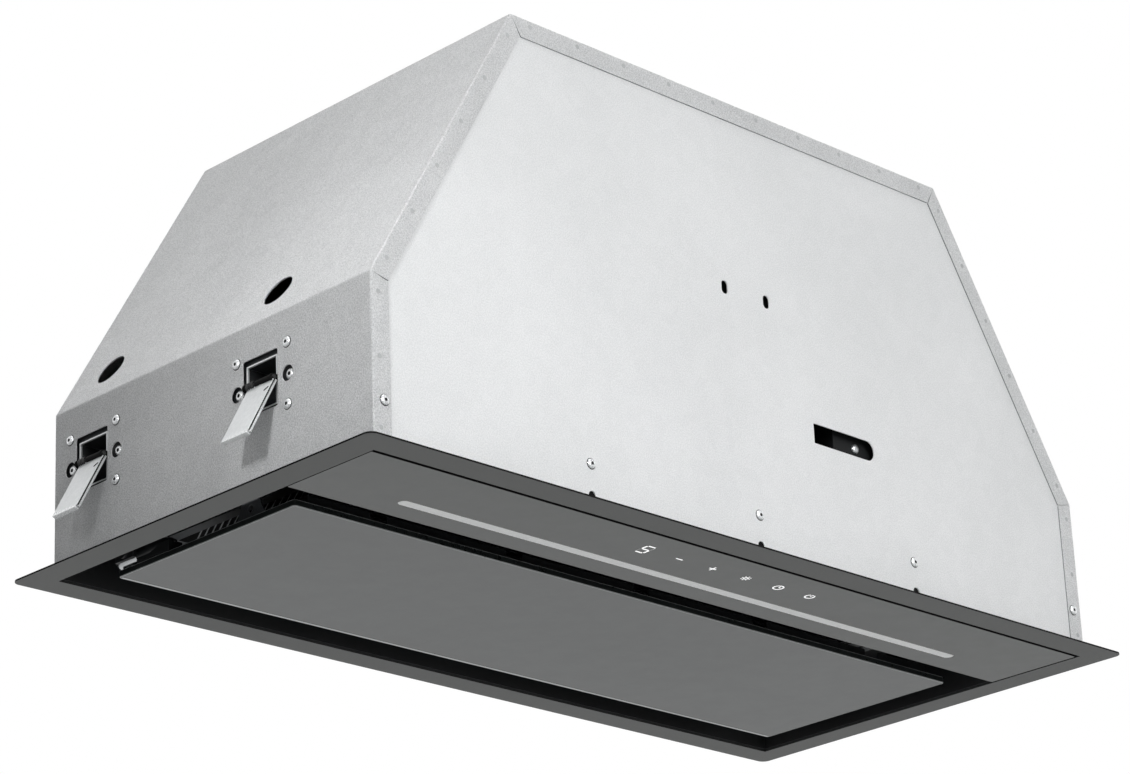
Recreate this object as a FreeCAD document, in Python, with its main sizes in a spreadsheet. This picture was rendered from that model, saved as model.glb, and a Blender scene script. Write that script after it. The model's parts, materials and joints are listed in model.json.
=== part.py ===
"""Built-in canopy cooker hood with perimeter suction, millimetres.

Origin at the centre of the flange's underside, +Z up, controls towards -Y.
"""
import FreeCAD, Part
import math
import os
import Sketcher

Vector = FreeCAD.Vector
Rotation = FreeCAD.Rotation
doc = FreeCAD.newDocument("canopy_hood")

SIZES = {
    # how far a cutter runs past a face, and how far joined forms run into each other
    "past": 1.0,
    # casing of galvanised sheet
    "casing_width": 565.0,
    "casing_depth": 259.0,
    "casing_height": 275.0,
    "knee_height": 95.5,
    "top_width": 353.0,
    "casing_sheet": 0.7,
    "seam_width": 12.0,
    "slope_hole_radius": 10.0,
    "slope_hole_along": 23.0,
    # holes in the front plate
    "slot_spacing": 34.0,
    "slot_height": 157.8,
    "slot_width": 5.0,
    "slot_length": 8.0,
    "cable_slot_left": 50.5,
    "cable_slot_length": 51.2,
    "cable_slot_base": 81.0,
    "cable_slot_height": 12.0,
    "hump_radius": 2.7,
    "hump_height": 9.3,
    # flange with its collar
    "flange_width": 598.0,
    "flange_depth": 290.0,
    "flange_sheet": 1.0,
    "flange_corner": 5.0,
    "collar_height": 36.0,
    # rivets and screws
    "rivet_head_radius": 3.5,
    "rivet_head_height": 1.3,
    "rivet_shank_radius": 2.0,
    "rivet_grip": 1.7,
    "mandrel_radius": 1.1,
    "casing_rivet_height": 27.0,
    "casing_rivet_edge": 7.5,
    "casing_rivet_pitch": 130.0,
    "screw_head_radius": 3.2,
    "screw_head_height": 1.9,
    "screw_shank_radius": 1.7,
    "screw_length": 6.0,
    "screw_point": 1.5,
    # inner air pan
    "pan_clearance": 0.2,
    "pan_sheet": 0.8,
    "pan_base": 1.5,
    "pan_height": 38.0,
    # control strip at the front
    "glass_recess": 0.2,
    "control_width": 559.6,
    "control_corner": 1.0,
    "control_depth": 65.5,
    "control_gap": 1.1,
    "control_glass_thickness": 3.0,
    "control_tray_height": 30.0,
    "control_tray_wall": 1.5,
    "control_pan_gap": 0.8,
    "light_length": 440.0,
    "light_width": 6.5,
    "light_from_front": 47.5,
    "light_clearance": 0.1,
    "light_height": 5.0,
    "led_count": 20.0,
    "led_size": 3.5,
    "led_height": 1.2,
    "led_seat": 0.1,
    "light_board_margin": 1.0,
    "board_thickness": 1.6,
    "touch_from_front": 22.2,
    "touch_board_width": 130.0,
    "touch_board_depth": 18.0,
    "touch_board_gap": 4.0,
    "digit_offset": 65.6,
    "digit_width": 13.0,
    "digit_height": 5.8,
    # suction panel
    "panel_width": 517.0,
    "panel_depth": 145.4,
    "panel_front": -41.2,
    "panel_thickness": 4.0,
    "panel_lift": 0.3,
    "panel_corner": 2.0,
    "tray_side_margin": 12.5,
    "tray_front_margin": 4.2,
    "tray_back_margin": 20.0,
    "tray_height": 6.0,
    "tray_sheet": 0.8,
    # panel hinges
    "arm_radius": 5.7,
    "arm_length": 44.0,
    "arm_inset": 4.5,
    "arm_lift": 0.3,
    "hinge_from_back": 12.2,
    "hinge_pin_radius": 2.0,
    "running_clearance": 0.05,
    "hinge_cheek": 2.0,
    "hinge_side_gap": 2.3,
    "hinge_bracket_width": 16.0,
    "hinge_bracket_drop": 6.0,
    "hinge_foot": 12.0,
    "hinge_head_radius": 3.5,
    "hinge_head_height": 1.5,
    # panel catches
    "strike_centre": -5.0,
    "strike_width": 22.0,
    "strike_height": 9.7,
    "strike_sheet": 1.2,
    "strike_inset": 1.3,
    "strike_foot": 8.0,
    "strike_tab": 11.0,
    "strike_hole_radius": 2.0,
    "magnet_gap": 0.3,
    "magnet_side_gap": 0.5,
    "magnet_width": 16.0,
    # grease filters
    "filter_width": 232.0,
    "filter_depth": 150.0,
    "filter_thickness": 9.0,
    "filter_middle_gap": 16.0,
    "filter_centre": 31.0,
    "filter_rim": 8.0,
    "mesh_recess": 1.0,
    "mesh_thickness": 6.0,
    "mesh_slot_length": 48.0,
    "mesh_slot_width": 3.0,
    "mesh_slot_pitch": 5.2,
    "mesh_column_pitch": 52.0,
    "mesh_side_margin": 2.0,
    "mesh_end_margin": 4.0,
    "keeper_sheet": 0.8,
    "keeper_drop": 10.2,
    "keeper_lip": 3.8,
    "keeper_gap": 1.2,
    "latch_width": 37.4,
    "latch_depth": 18.0,
    "latch_height": 6.4,
    "latch_side_clearance": 0.3,
    "latch_travel": 4.0,
    "latch_tongue": 3.4,
    "latch_head": 1.9,
    "finger_margin": 4.0,
    "finger_corner": 2.0,
    "latch_tongue_width": 24.0,
    "latch_tongue_height": 2.6,
    "latch_tongue_lift": 0.6,
    "lug_width": 20.0,
    # wall clips
    "clip_front": -45.0,
    "clip_back": 95.5,
    "clip_height": 60.0,
    "window_width": 25.0,
    "window_height": 30.0,
    "window_corner": 1.5,
    "clip_rivet_half_width": 20.0,
    "clip_rivet_half_height": 17.0,
    "clip_screw_hole_radius": 4.0,
    "cage_sheet": 1.0,
    "cage_depth": 20.0,
    "cage_half_width": 27.0,
    "cage_half_height": 24.0,
    "cage_cheek_gap": 0.2,
    "ear_reach": 5.5,
    "ear_half_height": 12.0,
    "ear_nose": 4.0,
    "clip_pin_radius": 1.2,
    "clip_pivot_out": 1.8,
    "tab_width": 20.0,
    "tab_length": 40.0,
    "tab_thickness": 1.5,
    "tab_angle": 27.0,
    "tab_barrel_radius": 2.6,
    "tab_barrel_length": 12.0,
    "tab_slot_y": -5.0,
    "tab_slot_z": -8.5,
    "tab_slot_width": 3.0,
    "tab_slot_length": 4.0,
    "spring_radius": 2.0,
    "spring_wire_radius": 0.4,
    "spring_pitch": 1.4,
    "spring_turns": 4.0,
    "spring_leg": 6.0,
    # blower
    "blower_axis_y": -28.0,
    "blower_axis_z": 150.0,
    "scroll_half_width": 65.0,
    "scroll_end_radius": 108.0,
    "scroll_step": 7.0,
    "scroll_wall": 1.5,
    "scroll_top_gap": 0.3,
    "outlet_depth": 95.0,
    "inlet_radius": 59.0,
    "inlet_collar": 4.0,
    "impeller_radius": 75.0,
    "impeller_half_width": 55.0,
    "impeller_disc": 2.0,
    "impeller_ring": 5.0,
    "impeller_ring_width": 2.0,
    "hub_radius": 11.0,
    "hub_length": 20.0,
    "blade_count": 32.0,
    "blade_depth": 12.0,
    "blade_thickness": 1.0,
    "blade_rake": 6.0,
    "blade_setback": 0.6,
    # motor
    "shaft_radius": 4.0,
    "shaft_start": -20.0,
    "core_radius": 22.0,
    "core_length": 26.0,
    "air_gap": 0.5,
    "stator_radius": 36.0,
    "housing_start": 12.0,
    "housing_wall": 1.8,
    "housing_bore_gap": 0.5,
    "bearing_radius": 9.0,
    "bearing_length": 6.0,
    "bracket_thickness": 2.0,
    "bracket_gap": 0.5,
    "bracket_arm_width": 12.0,
    "bracket_post_radius": 5.0,
    "bracket_post_circle": 67.0,
    # duct spigot with its non-return flaps
    "spigot_radius": 74.5,
    "spigot_wall": 2.0,
    "spigot_height": 36.0,
    "spigot_base_radius": 90.0,
    "spigot_base": 2.0,
    "spigot_screw_circle": 82.0,
    "flap_height": 18.0,
    "flap_gap": 0.9,
    "flap_thickness": 1.2,
    "flap_pin_radius": 1.5,
    "knuckle_radius": 3.0,
    "knuckle_length": 24.0,
    "knuckle_gap": 2.0,
    "knuckle_side_gap": 0.4,
    "ledge_width": 2.0,
    "ledge_thickness": 2.0,
    "ledge_gap": 0.4,
    # electrics
    "box_left": 72.0,
    "box_width": 100.0,
    "box_depth": 33.0,
    "box_height": 80.0,
    "box_base": 70.0,
    "box_wall": 2.0,
    "box_gap": 4.1,
    "box_foot_inset": 10.0,
    "capacitor_radius": 13.0,
    "capacitor_length": 52.0,
    "gland_x": 150.0,
    "gland_z": 200.0,
    "gland_radius": 8.0,
    "gland_flange_radius": 11.0,
    "gland_flange": 4.0,
    "gland_inside": 8.0,
    "gland_bore_radius": 4.0,
}

PLACES = {
    "half_width": "sizes.casing_width / 2",
    "half_depth": "sizes.casing_depth / 2",
    "slope_angle": "atan2((sizes.casing_width - sizes.top_width) / 2;"
                   " sizes.casing_height - sizes.knee_height)",
    "collar_x": "half_width - sizes.casing_sheet",
    "collar_y": "half_depth - 2 * sizes.casing_sheet",
    "opening_x": "collar_x - sizes.flange_sheet",
    "opening_y": "collar_y - sizes.flange_sheet",
    "pan_x": "opening_x - sizes.pan_clearance",
    "pan_back": "opening_y - sizes.pan_clearance",
    "control_front": "-opening_y + sizes.control_gap",
    "control_back": "control_front + sizes.control_depth",
    "control_top": "sizes.glass_recess + sizes.control_glass_thickness",
    "pan_front": "control_back + sizes.control_pan_gap",
    "ceiling": "sizes.pan_height - sizes.pan_sheet",
    "light_y": "control_front + sizes.light_from_front",
    "touch_y": "control_front + sizes.touch_from_front",
    "panel_half": "sizes.panel_width / 2",
    "panel_back": "sizes.panel_front + sizes.panel_depth",
    "panel_top": "sizes.panel_lift + sizes.panel_thickness",
    "arm_x": "panel_half - sizes.arm_inset",
    "arm_z": "panel_top + sizes.arm_lift + sizes.arm_radius",
    "hinge_y": "panel_back - sizes.hinge_from_back",
    "cheek_x": "arm_x + sizes.arm_radius + sizes.hinge_side_gap",
    "strike_top": "panel_top + sizes.strike_height",
    "strike_x": "panel_half - sizes.strike_sheet - sizes.strike_inset",
    "filter_inner": "sizes.filter_middle_gap / 2",
    "filter_outer": "filter_inner + sizes.filter_width",
    "filter_x": "filter_inner + sizes.filter_width / 2",
    "filter_front": "sizes.filter_centre - sizes.filter_depth / 2",
    "filter_back": "sizes.filter_centre + sizes.filter_depth / 2",
    "filter_base": "ceiling - sizes.filter_thickness",
    "mesh_base": "filter_base + sizes.mesh_recess",
    "lip_top": "ceiling - sizes.keeper_drop + sizes.keeper_sheet",
    "tongue_base": "lip_top + sizes.latch_tongue_lift",
    "tongue_top": "tongue_base + sizes.latch_tongue_height",
    "latch_top": "tongue_top + sizes.latch_head",
    "clip_pivot_x": "half_width + sizes.clip_pivot_out",
    "volute_y": "sizes.blower_axis_y + sizes.scroll_step / 2",
    "volute_z": "sizes.blower_axis_z + sizes.scroll_step / 2",
    "scroll_top": "sizes.casing_height - sizes.casing_sheet - sizes.scroll_top_gap",
    "spigot_y": "volute_y + sizes.scroll_end_radius - sizes.outlet_depth / 2",
    "flap_z": "sizes.casing_height + sizes.flap_height",
    "spigot_bore": "sizes.spigot_radius - sizes.spigot_wall",
    "bracket_x": "sizes.scroll_half_width + sizes.inlet_collar + sizes.bracket_gap",
    "bracket_end": "bracket_x + sizes.bracket_thickness",
    "core_start": "(sizes.housing_start + bracket_x - sizes.core_length) / 2",
    "plate_face": "half_depth - sizes.casing_sheet",
    "box_front": "-collar_y + sizes.box_gap",
}


def make_sheet(name, rows, lead):
    """Spreadsheet with one aliased row per size."""
    sheet = doc.addObject("Spreadsheet::Sheet", name)
    for row, (alias, content) in enumerate(rows.items(), 1):
        sheet.set(f"A{row}", alias)
        sheet.set(f"B{row}", f"{lead}{content}")
        sheet.setAlias(f"B{row}", alias)
    return sheet


make_sheet("sizes", SIZES, "")
places = make_sheet("places", PLACES, "=")
doc.recompute()


def value(expression):
    """Number that an expression gives now."""
    result = places.evalExpression(expression)
    return float(getattr(result, "Value", result))


# ---------------------------------------------------------------- sketches

NORMAL_SIGN = {"XY_Plane": 1, "XZ_Plane": -1, "YZ_Plane": 1}


def add_body(label):
    body = doc.addObject("PartDesign::Body", label)
    body.Label = label
    return body


def add_sketch(body, role, offset="0"):
    """Sketch on one of the body's origin planes, moved along the matching axis."""
    sketch = body.newObject("Sketcher::SketchObject", "Sketch")
    plane = next(item for item in body.Origin.OriginFeatures if item.Role == role)
    sketch.AttachmentSupport = [(plane, "")]
    sketch.MapMode = "FlatFace"
    sketch.setExpression("AttachmentOffset.Base.z", f"{NORMAL_SIGN[role]} * ({offset})")
    return sketch


def slab(body, kind, role, low, high):
    """Pad or Pocket from low to high along the plane's axis; returns its empty sketch."""
    sketch = add_sketch(body, role, f"(({low}) + ({high})) / 2")
    feature = body.newObject(f"PartDesign::{kind}", kind)
    feature.Profile = sketch
    feature.SideType = "Symmetric"
    feature.setExpression("Length", f"({high}) - ({low})")
    return sketch


def bind(sketch, kind, places_on, expression, signed=True):
    """Dimension that follows an expression."""
    size = value(expression) if signed else abs(value(expression))
    number = sketch.addConstraint(Sketcher.Constraint(kind, *places_on, size))
    sketch.setExpression(f"Constraints[{number}]", expression if signed else f"abs({expression})")


def outline(sketch, points):
    """Closed outline through (x, y) points; (x, y, radius) starts an arc, positive bulging right."""
    spots = [Vector(value(point[0]), value(point[1]), 0) for point in points]
    count = len(points)
    first = sketch.GeometryCount
    starts = []
    for index, point in enumerate(points):
        start, end = spots[index], spots[(index + 1) % count]
        if len(point) == 2:
            sketch.addGeometry(Part.LineSegment(start, end))
            starts.append(1)
            continue
        radius = value(point[2])
        half = (end - start) * 0.5
        sagitta = abs(radius) - max(radius * radius - half.Length ** 2, 0) ** 0.5
        right = Vector(half.y, -half.x, 0).normalize()
        if radius > 0:
            sketch.addGeometry(Part.Arc(start, start + half + right * sagitta, end))
            starts.append(1)
        else:
            sketch.addGeometry(Part.Arc(end, start + half - right * sagitta, start))
            starts.append(2)
    for index, point in enumerate(points):
        edge, following = first + index, first + (index + 1) % count
        join = (edge, 3 - starts[index], following, starts[(index + 1) % count])
        sketch.addConstraint(Sketcher.Constraint("Coincident", *join))
        bind(sketch, "DistanceX", (edge, starts[index]), point[0])
        bind(sketch, "DistanceY", (edge, starts[index]), point[1])
        if len(point) == 3:
            bind(sketch, "Radius", (edge,), point[2], signed=False)


def rectangle(sketch, left, right, low, high):
    outline(sketch, [(left, low), (right, low), (right, high), (left, high)])


def rounded(sketch, left, right, low, high, radius):
    """Rectangle with four rounded corners."""
    left, right, low, high, radius = (f"({part})" for part in (left, right, low, high, radius))
    outline(sketch, [
        (f"{left} + {radius}", low),
        (f"{right} - {radius}", low, radius),
        (right, f"{low} + {radius}"),
        (right, f"{high} - {radius}", radius),
        (f"{right} - {radius}", high),
        (f"{left} + {radius}", high, radius),
        (left, f"{high} - {radius}"),
        (left, f"{low} + {radius}", radius),
    ])


def circle(sketch, x, y, radius):
    spot = Vector(value(x), value(y), 0)
    ring = sketch.addGeometry(Part.Circle(spot, Vector(0, 0, 1), value(radius)))
    bind(sketch, "DistanceX", (ring, 3), x)
    bind(sketch, "DistanceY", (ring, 3), y)
    bind(sketch, "Radius", (ring,), radius)


def pattern(body, sketch, axis, pitch, count):
    """Linear pattern whose pitch and count follow expressions."""
    row = body.newObject("PartDesign::LinearPattern", "LinearPattern")
    row.Direction = (sketch, [axis])
    row.Mode = "Spacing"
    row.Refine = False
    row.setExpression("Offset", pitch)
    row.setExpression("Occurrences", count)
    return row


# -------------------------------------------------------------- primitives

AXIS_TURN = {
    "X": Rotation(Vector(0, 1, 0), 90),
    "Y": Rotation(Vector(1, 0, 0), -90),
    "Z": Rotation(),
    "-X": Rotation(Vector(0, 1, 0), -90),
    "-Y": Rotation(Vector(1, 0, 0), 90),
    "-Z": Rotation(Vector(1, 0, 0), 180),
}


def place(item, x, y, z, turn=Rotation()):
    """Placement that follows three expressions."""
    item.Placement = FreeCAD.Placement(Vector(), turn)
    item.setExpression("Placement.Base.x", x)
    item.setExpression("Placement.Base.y", y)
    item.setExpression("Placement.Base.z", z)
    return item


def box(x_range, y_range, z_range, name="Box"):
    """Box between pairs of expressions."""
    made = doc.addObject("Part::Box", name)
    for side, (low, high) in zip(("Length", "Width", "Height"), (x_range, y_range, z_range)):
        made.setExpression(side, f"({high}) - ({low})")
    return place(made, x_range[0], y_range[0], z_range[0])


def cylinder(axis, radius, low, high, first, second, name="Cylinder"):
    """Cylinder along an axis from low to high, at the other two coordinates in X, Y, Z order."""
    made = doc.addObject("Part::Cylinder", name)
    made.setExpression("Radius", radius)
    made.setExpression("Height", f"({high}) - ({low})")
    spot = {"X": (low, first, second), "Y": (first, low, second), "Z": (first, second, low)}[axis]
    return place(made, *spot, AXIS_TURN[axis])


def fuse(label, *shapes):
    made = doc.addObject("Part::MultiFuse", label)
    made.Shapes = list(shapes)
    made.Label = label
    return made


def cut(label, base, *tools):
    made = doc.addObject("Part::Cut", label)
    made.Base = base
    made.Tool = tools[0] if len(tools) == 1 else group(f"{label}_tools", *tools)
    made.Label = label
    return made


def group(label, *shapes):
    """Separate solids kept together."""
    made = doc.addObject("Part::Compound", label)
    made.Links = list(shapes)
    made.Label = label
    return made


def mirrored(label, source):
    """Copy of a left-hand piece for the right-hand side."""
    made = doc.addObject("Part::Mirroring", label)
    made.Source = source
    made.Normal = Vector(1, 0, 0)
    made.Label = label
    return made


def copy_at(source, x, y, z, direction="Z"):
    """Copy of a fastener, its own +Z turned to a direction."""
    link = doc.addObject("App::Link", f"{source.Name}_copy")
    link.LinkedObject = source
    return place(link, x, y, z, AXIS_TURN[direction])


nodes = []


def keep(piece, label=None):
    """Note a finished sub-part under its node name."""
    if label:
        piece.Label = label
    nodes.append(piece)
    return piece


# --------------------------------------------------------------- fasteners

def turned(label, points):
    """Body turned about Z from an outline of (radius, height) points."""
    body = add_body(label)
    sketch = add_sketch(body, "XZ_Plane")
    outline(sketch, points)
    turn = body.newObject("PartDesign::Revolution", "Revolution")
    turn.Profile = sketch
    turn.ReferenceAxis = (sketch, ["V_Axis"])
    turn.Angle = 360
    return body


def make_rivet():
    """Blind rivet with a domed head, open where its mandrel broke off."""
    return turned("rivet", [
        ("0", "-sizes.rivet_grip"),
        ("sizes.rivet_shank_radius", "-sizes.rivet_grip"),
        ("sizes.rivet_shank_radius", "0"),
        ("sizes.rivet_head_radius", "0"),
        ("sizes.rivet_head_radius", "sizes.rivet_head_height * 0.35", "sizes.rivet_head_radius"),
        ("sizes.mandrel_radius", "sizes.rivet_head_height"),
        ("sizes.mandrel_radius", "-sizes.rivet_grip / 2"),
        ("0", "-sizes.rivet_grip / 2"),
    ])


def make_screw():
    """Pan-head screw with a round drive recess."""
    return turned("screw", [
        ("0", "-sizes.screw_length"),
        ("sizes.screw_shank_radius * 0.4", "-sizes.screw_length"),
        ("sizes.screw_shank_radius", "-sizes.screw_length + sizes.screw_point"),
        ("sizes.screw_shank_radius", "0"),
        ("sizes.screw_head_radius", "0"),
        ("sizes.screw_head_radius", "sizes.screw_head_height * 0.5", "sizes.screw_head_radius"),
        ("sizes.screw_head_radius * 0.4", "sizes.screw_head_height"),
        ("sizes.screw_head_radius * 0.4", "sizes.screw_head_height / 3"),
        ("0", "sizes.screw_head_height / 3"),
    ])


rivet = make_rivet()
screw = make_screw()

# ------------------------------------------------------------------ casing

CLIP_PLACES = {"front": "sizes.clip_front", "back": "sizes.clip_back"}
SIDES = {"left": -1, "right": 1}
CASING_RIVET_SPOTS = [
    "-places.half_width + sizes.casing_rivet_edge",
    "-sizes.casing_rivet_pitch",
    "0",
    "sizes.casing_rivet_pitch",
    "places.half_width - sizes.casing_rivet_edge",
]
CASING_RIVET_PIERCES_SEAM = [True, False, False, False, True]
SPIGOT_SCREW_SIGNS = [(-1, -1), (1, -1), (1, 1), (-1, 1)]
WIDE = ("-places.half_width - sizes.past", "places.half_width + sizes.past")
DEEP = ("-places.half_depth - sizes.past", "places.half_depth + sizes.past")
BELOW = "-sizes.past"


def casing_section(inset, base):
    """Front view of the casing, drawn in by a distance, from a base height up."""
    wall = f"(places.half_width - {inset})"
    knee = f"(sizes.knee_height - {inset} * tan(places.slope_angle / 2))"
    top = f"(sizes.top_width / 2 - {inset} * tan((90 deg - places.slope_angle) / 2))"
    roof = f"(sizes.casing_height - {inset})"
    return [(f"-{wall}", base), (wall, base), (wall, knee), (top, roof),
            (f"-{top}", roof), (f"-{wall}", knee)]


def spigot_screw_spot(signs):
    """Place of one screw on the spigot's screw circle, as X and Y."""
    along_x, along_y = signs
    return (f"{along_x} * sizes.spigot_screw_circle / sqrt(2)",
            f"places.spigot_y + {along_y} * sizes.spigot_screw_circle / sqrt(2)")


def make_casing_wrap():
    """Bent sheet over both sides and the top, its seams turned in at the front and back."""
    body = add_body("wrap_sheet")
    outline(slab(body, "Pad", "XZ_Plane", "-places.half_depth", "places.half_depth"),
            casing_section("0", "sizes.flange_sheet"))
    outline(slab(body, "Pocket", "XZ_Plane", "-places.plate_face", "places.plate_face"),
            casing_section("sizes.casing_sheet", BELOW))
    outline(slab(body, "Pocket", "XZ_Plane", *DEEP), casing_section("sizes.seam_width", BELOW))
    seam_holes = slab(body, "Pocket", "XZ_Plane", *DEEP)
    for x in (CASING_RIVET_SPOTS[0], CASING_RIVET_SPOTS[-1]):
        circle(seam_holes, x, "sizes.casing_rivet_height", "sizes.rivet_shank_radius")
    windows = slab(body, "Pocket", "YZ_Plane", *WIDE)
    for middle in CLIP_PLACES.values():
        rounded(windows, f"{middle} - sizes.window_width / 2", f"{middle} + sizes.window_width / 2",
                "sizes.clip_height - sizes.window_height / 2",
                "sizes.clip_height + sizes.window_height / 2", "sizes.window_corner")
        for side in (-1, 1):
            column = f"{middle} + {side} * sizes.clip_rivet_half_width"
            circle(windows, column, "sizes.clip_height", "sizes.clip_screw_hole_radius")
            for row in (-1, 1):
                circle(windows, column, f"sizes.clip_height + {row} * sizes.clip_rivet_half_height",
                       "sizes.rivet_shank_radius")
    roof = slab(body, "Pocket", "XY_Plane", "sizes.casing_height - sizes.casing_sheet - sizes.past",
                "sizes.casing_height + sizes.past")
    circle(roof, "0", "places.spigot_y", "places.spigot_bore")
    for signs in SPIGOT_SCREW_SIGNS:
        circle(roof, *spigot_screw_spot(signs), "sizes.screw_shank_radius")
    return cut("casing_wrap", body, *(slope_hole(side, middle)
                                      for side in SIDES.values()
                                      for middle in CLIP_PLACES.values()))


def slope_hole(side, middle):
    """Cutter square to a slope, above a wall clip."""
    cutter = doc.addObject("Part::Cylinder", "slope_hole")
    cutter.setExpression("Radius", "sizes.slope_hole_radius")
    cutter.setExpression("Height", "2 * sizes.slope_hole_radius")
    along = "sizes.slope_hole_along"
    into = "sizes.slope_hole_radius"
    place(cutter,
          f"{side} * (places.half_width - {along} * sin(places.slope_angle)"
          f" - {into} * cos(places.slope_angle))",
          middle,
          f"sizes.knee_height + {along} * cos(places.slope_angle) - {into} * sin(places.slope_angle)",
          Rotation(Vector(0, 1, 0), side * 90))
    cutter.setExpression("Placement.Rotation.Angle", "90 deg - places.slope_angle")
    return cutter


def make_end_plate(label, front):
    """Flat end plate inside the seams; the front one has the slots."""
    outer, inner = "places.plate_face", "places.collar_y"
    span = (f"-{outer}", f"-{inner}") if front else (inner, outer)
    body = add_body(label)
    outline(slab(body, "Pad", "XZ_Plane", *span),
            casing_section("sizes.casing_sheet", "sizes.flange_sheet"))
    holes = slab(body, "Pocket", "XZ_Plane", *DEEP)
    for x in CASING_RIVET_SPOTS:
        circle(holes, x, "sizes.casing_rivet_height", "sizes.rivet_shank_radius")
    for x in CASING_RIVET_SPOTS[1:-1]:
        circle(holes, x, "sizes.hump_height", "sizes.hump_radius")
    if not front:
        circle(holes, "sizes.gland_x", "sizes.gland_z", "sizes.gland_radius")
        return keep(body)
    for side in (-1, 1):
        middle = f"{side} * sizes.slot_spacing / 2"
        rounded(holes, f"{middle} - sizes.slot_width / 2", f"{middle} + sizes.slot_width / 2",
                "sizes.slot_height - sizes.slot_length / 2", "sizes.slot_height + sizes.slot_length / 2",
                "sizes.slot_width * 0.48")
    left, base = "sizes.cable_slot_left", "sizes.cable_slot_base"
    right = f"({left} + sizes.cable_slot_length)"
    top = f"({base} + sizes.cable_slot_height)"
    bend = "sizes.cable_slot_height * 0.49"
    outline(holes, [
        (left, base),
        (f"{right} - {bend}", base, bend),
        (right, f"{base} + {bend}"),
        (right, f"{top} - {bend}", bend),
        (f"{right} - {bend}", top),
        (left, top),
    ])
    return keep(body)


def make_flange_frame():
    """Flange with rounded corners and the collar that stands up inside the casing."""
    body = add_body("flange_frame")
    rounded(slab(body, "Pad", "XY_Plane", "0", "sizes.flange_sheet"),
            "-sizes.flange_width / 2", "sizes.flange_width / 2",
            "-sizes.flange_depth / 2", "sizes.flange_depth / 2", "sizes.flange_corner")
    rectangle(slab(body, "Pad", "XY_Plane", "0", "sizes.collar_height"),
              "-places.collar_x", "places.collar_x", "-places.collar_y", "places.collar_y")
    rectangle(slab(body, "Pocket", "XY_Plane", BELOW, "sizes.collar_height + sizes.past"),
              "-places.opening_x", "places.opening_x", "-places.opening_y", "places.opening_y")
    holes = slab(body, "Pocket", "XZ_Plane", *DEEP)
    for x in CASING_RIVET_SPOTS:
        circle(holes, x, "sizes.casing_rivet_height", "sizes.rivet_shank_radius")
    return keep(body)


def make_casing_rivets():
    """Five rivets through each end plate into the collar; the end ones go through the seam."""
    rivets = []
    for sign, direction in ((-1, "-Y"), (1, "Y")):
        for x, pierces_seam in zip(CASING_RIVET_SPOTS, CASING_RIVET_PIERCES_SEAM):
            face = "places.half_depth" if pierces_seam else "places.plate_face"
            rivets.append(copy_at(rivet, x, f"{sign} * {face}", "sizes.casing_rivet_height", direction))
    return keep(group("casing_rivets", *rivets))


def make_air_pan():
    """Inner pan behind the control strip, with two filter openings in its ceiling."""
    body = add_body("air_pan")
    rectangle(slab(body, "Pad", "XY_Plane", "sizes.pan_base", "sizes.pan_height"),
              "-places.pan_x", "places.pan_x", "places.pan_front", "places.pan_back")
    rectangle(slab(body, "Pocket", "XY_Plane", BELOW, "places.ceiling"),
              "-places.pan_x + sizes.pan_sheet", "places.pan_x - sizes.pan_sheet",
              "places.pan_front + sizes.pan_sheet", "places.pan_back - sizes.pan_sheet")
    openings = slab(body, "Pocket", "XY_Plane", "places.ceiling - sizes.past",
                    "sizes.pan_height + sizes.past")
    for side in ("-1", "1"):
        near = f"{side} * (places.filter_inner + sizes.filter_rim)"
        far = f"{side} * (places.filter_outer - sizes.filter_rim)"
        rectangle(openings, near, far, "places.filter_front + sizes.filter_rim",
                  "places.filter_back - sizes.filter_rim")
    return keep(body)


keep(make_casing_wrap())
make_end_plate("front_plate", front=True)
make_end_plate("back_plate", front=False)
make_flange_frame()
make_casing_rivets()
make_air_pan()

# ----------------------------------------------------------- control strip

CONTROL_WIDE = ("-sizes.control_width / 2", "sizes.control_width / 2")
CONTROL_DEEP = ("places.control_front", "places.control_back")


def make_control_glass():
    """Glass strip with a slot for the light bar."""
    body = add_body("control_glass")
    rounded(slab(body, "Pad", "XY_Plane", "sizes.glass_recess", "places.control_top"),
            *CONTROL_WIDE, *CONTROL_DEEP, "sizes.control_corner")
    light_outline(slab(body, "Pocket", "XY_Plane", BELOW, "places.control_top + sizes.past"),
                  "sizes.light_clearance")
    return keep(body)


def light_outline(sketch, growth):
    """Light bar's outline with round ends, larger by a clearance."""
    rounded(sketch,
            f"-sizes.light_length / 2 - {growth}", f"sizes.light_length / 2 + {growth}",
            f"places.light_y - sizes.light_width / 2 - {growth}",
            f"places.light_y + sizes.light_width / 2 + {growth}",
            f"(sizes.light_width / 2 + {growth}) * 0.96")


def make_light_diffuser():
    body = add_body("light_diffuser")
    light_outline(slab(body, "Pad", "XY_Plane", "sizes.glass_recess",
                       "sizes.glass_recess + sizes.light_height"), "0")
    return keep(body)


def make_light_board():
    """Board over the light bar with a row of light-emitting diodes under it."""
    base = "sizes.glass_recess + sizes.light_height + sizes.led_size"
    half = "(sizes.light_width / 2 + sizes.light_board_margin)"
    body = add_body("light_board")
    rectangle(slab(body, "Pad", "XY_Plane", base, f"{base} + sizes.board_thickness"),
              "-sizes.light_length / 2", "sizes.light_length / 2",
              f"places.light_y - {half}", f"places.light_y + {half}")
    first = slab(body, "Pad", "XY_Plane", f"{base} - sizes.led_height", f"{base} + sizes.led_seat")
    pitch = "sizes.light_length / sizes.led_count"
    middle = f"({pitch} - sizes.light_length) / 2"
    rectangle(first, f"{middle} - sizes.led_size / 2", f"{middle} + sizes.led_size / 2",
              "places.light_y - sizes.led_size / 2", "places.light_y + sizes.led_size / 2")
    row = pattern(body, first, "H_Axis", pitch, "sizes.led_count")
    row.Originals = [body.Group[-2]]
    body.Tip = row
    return keep(body)


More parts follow.
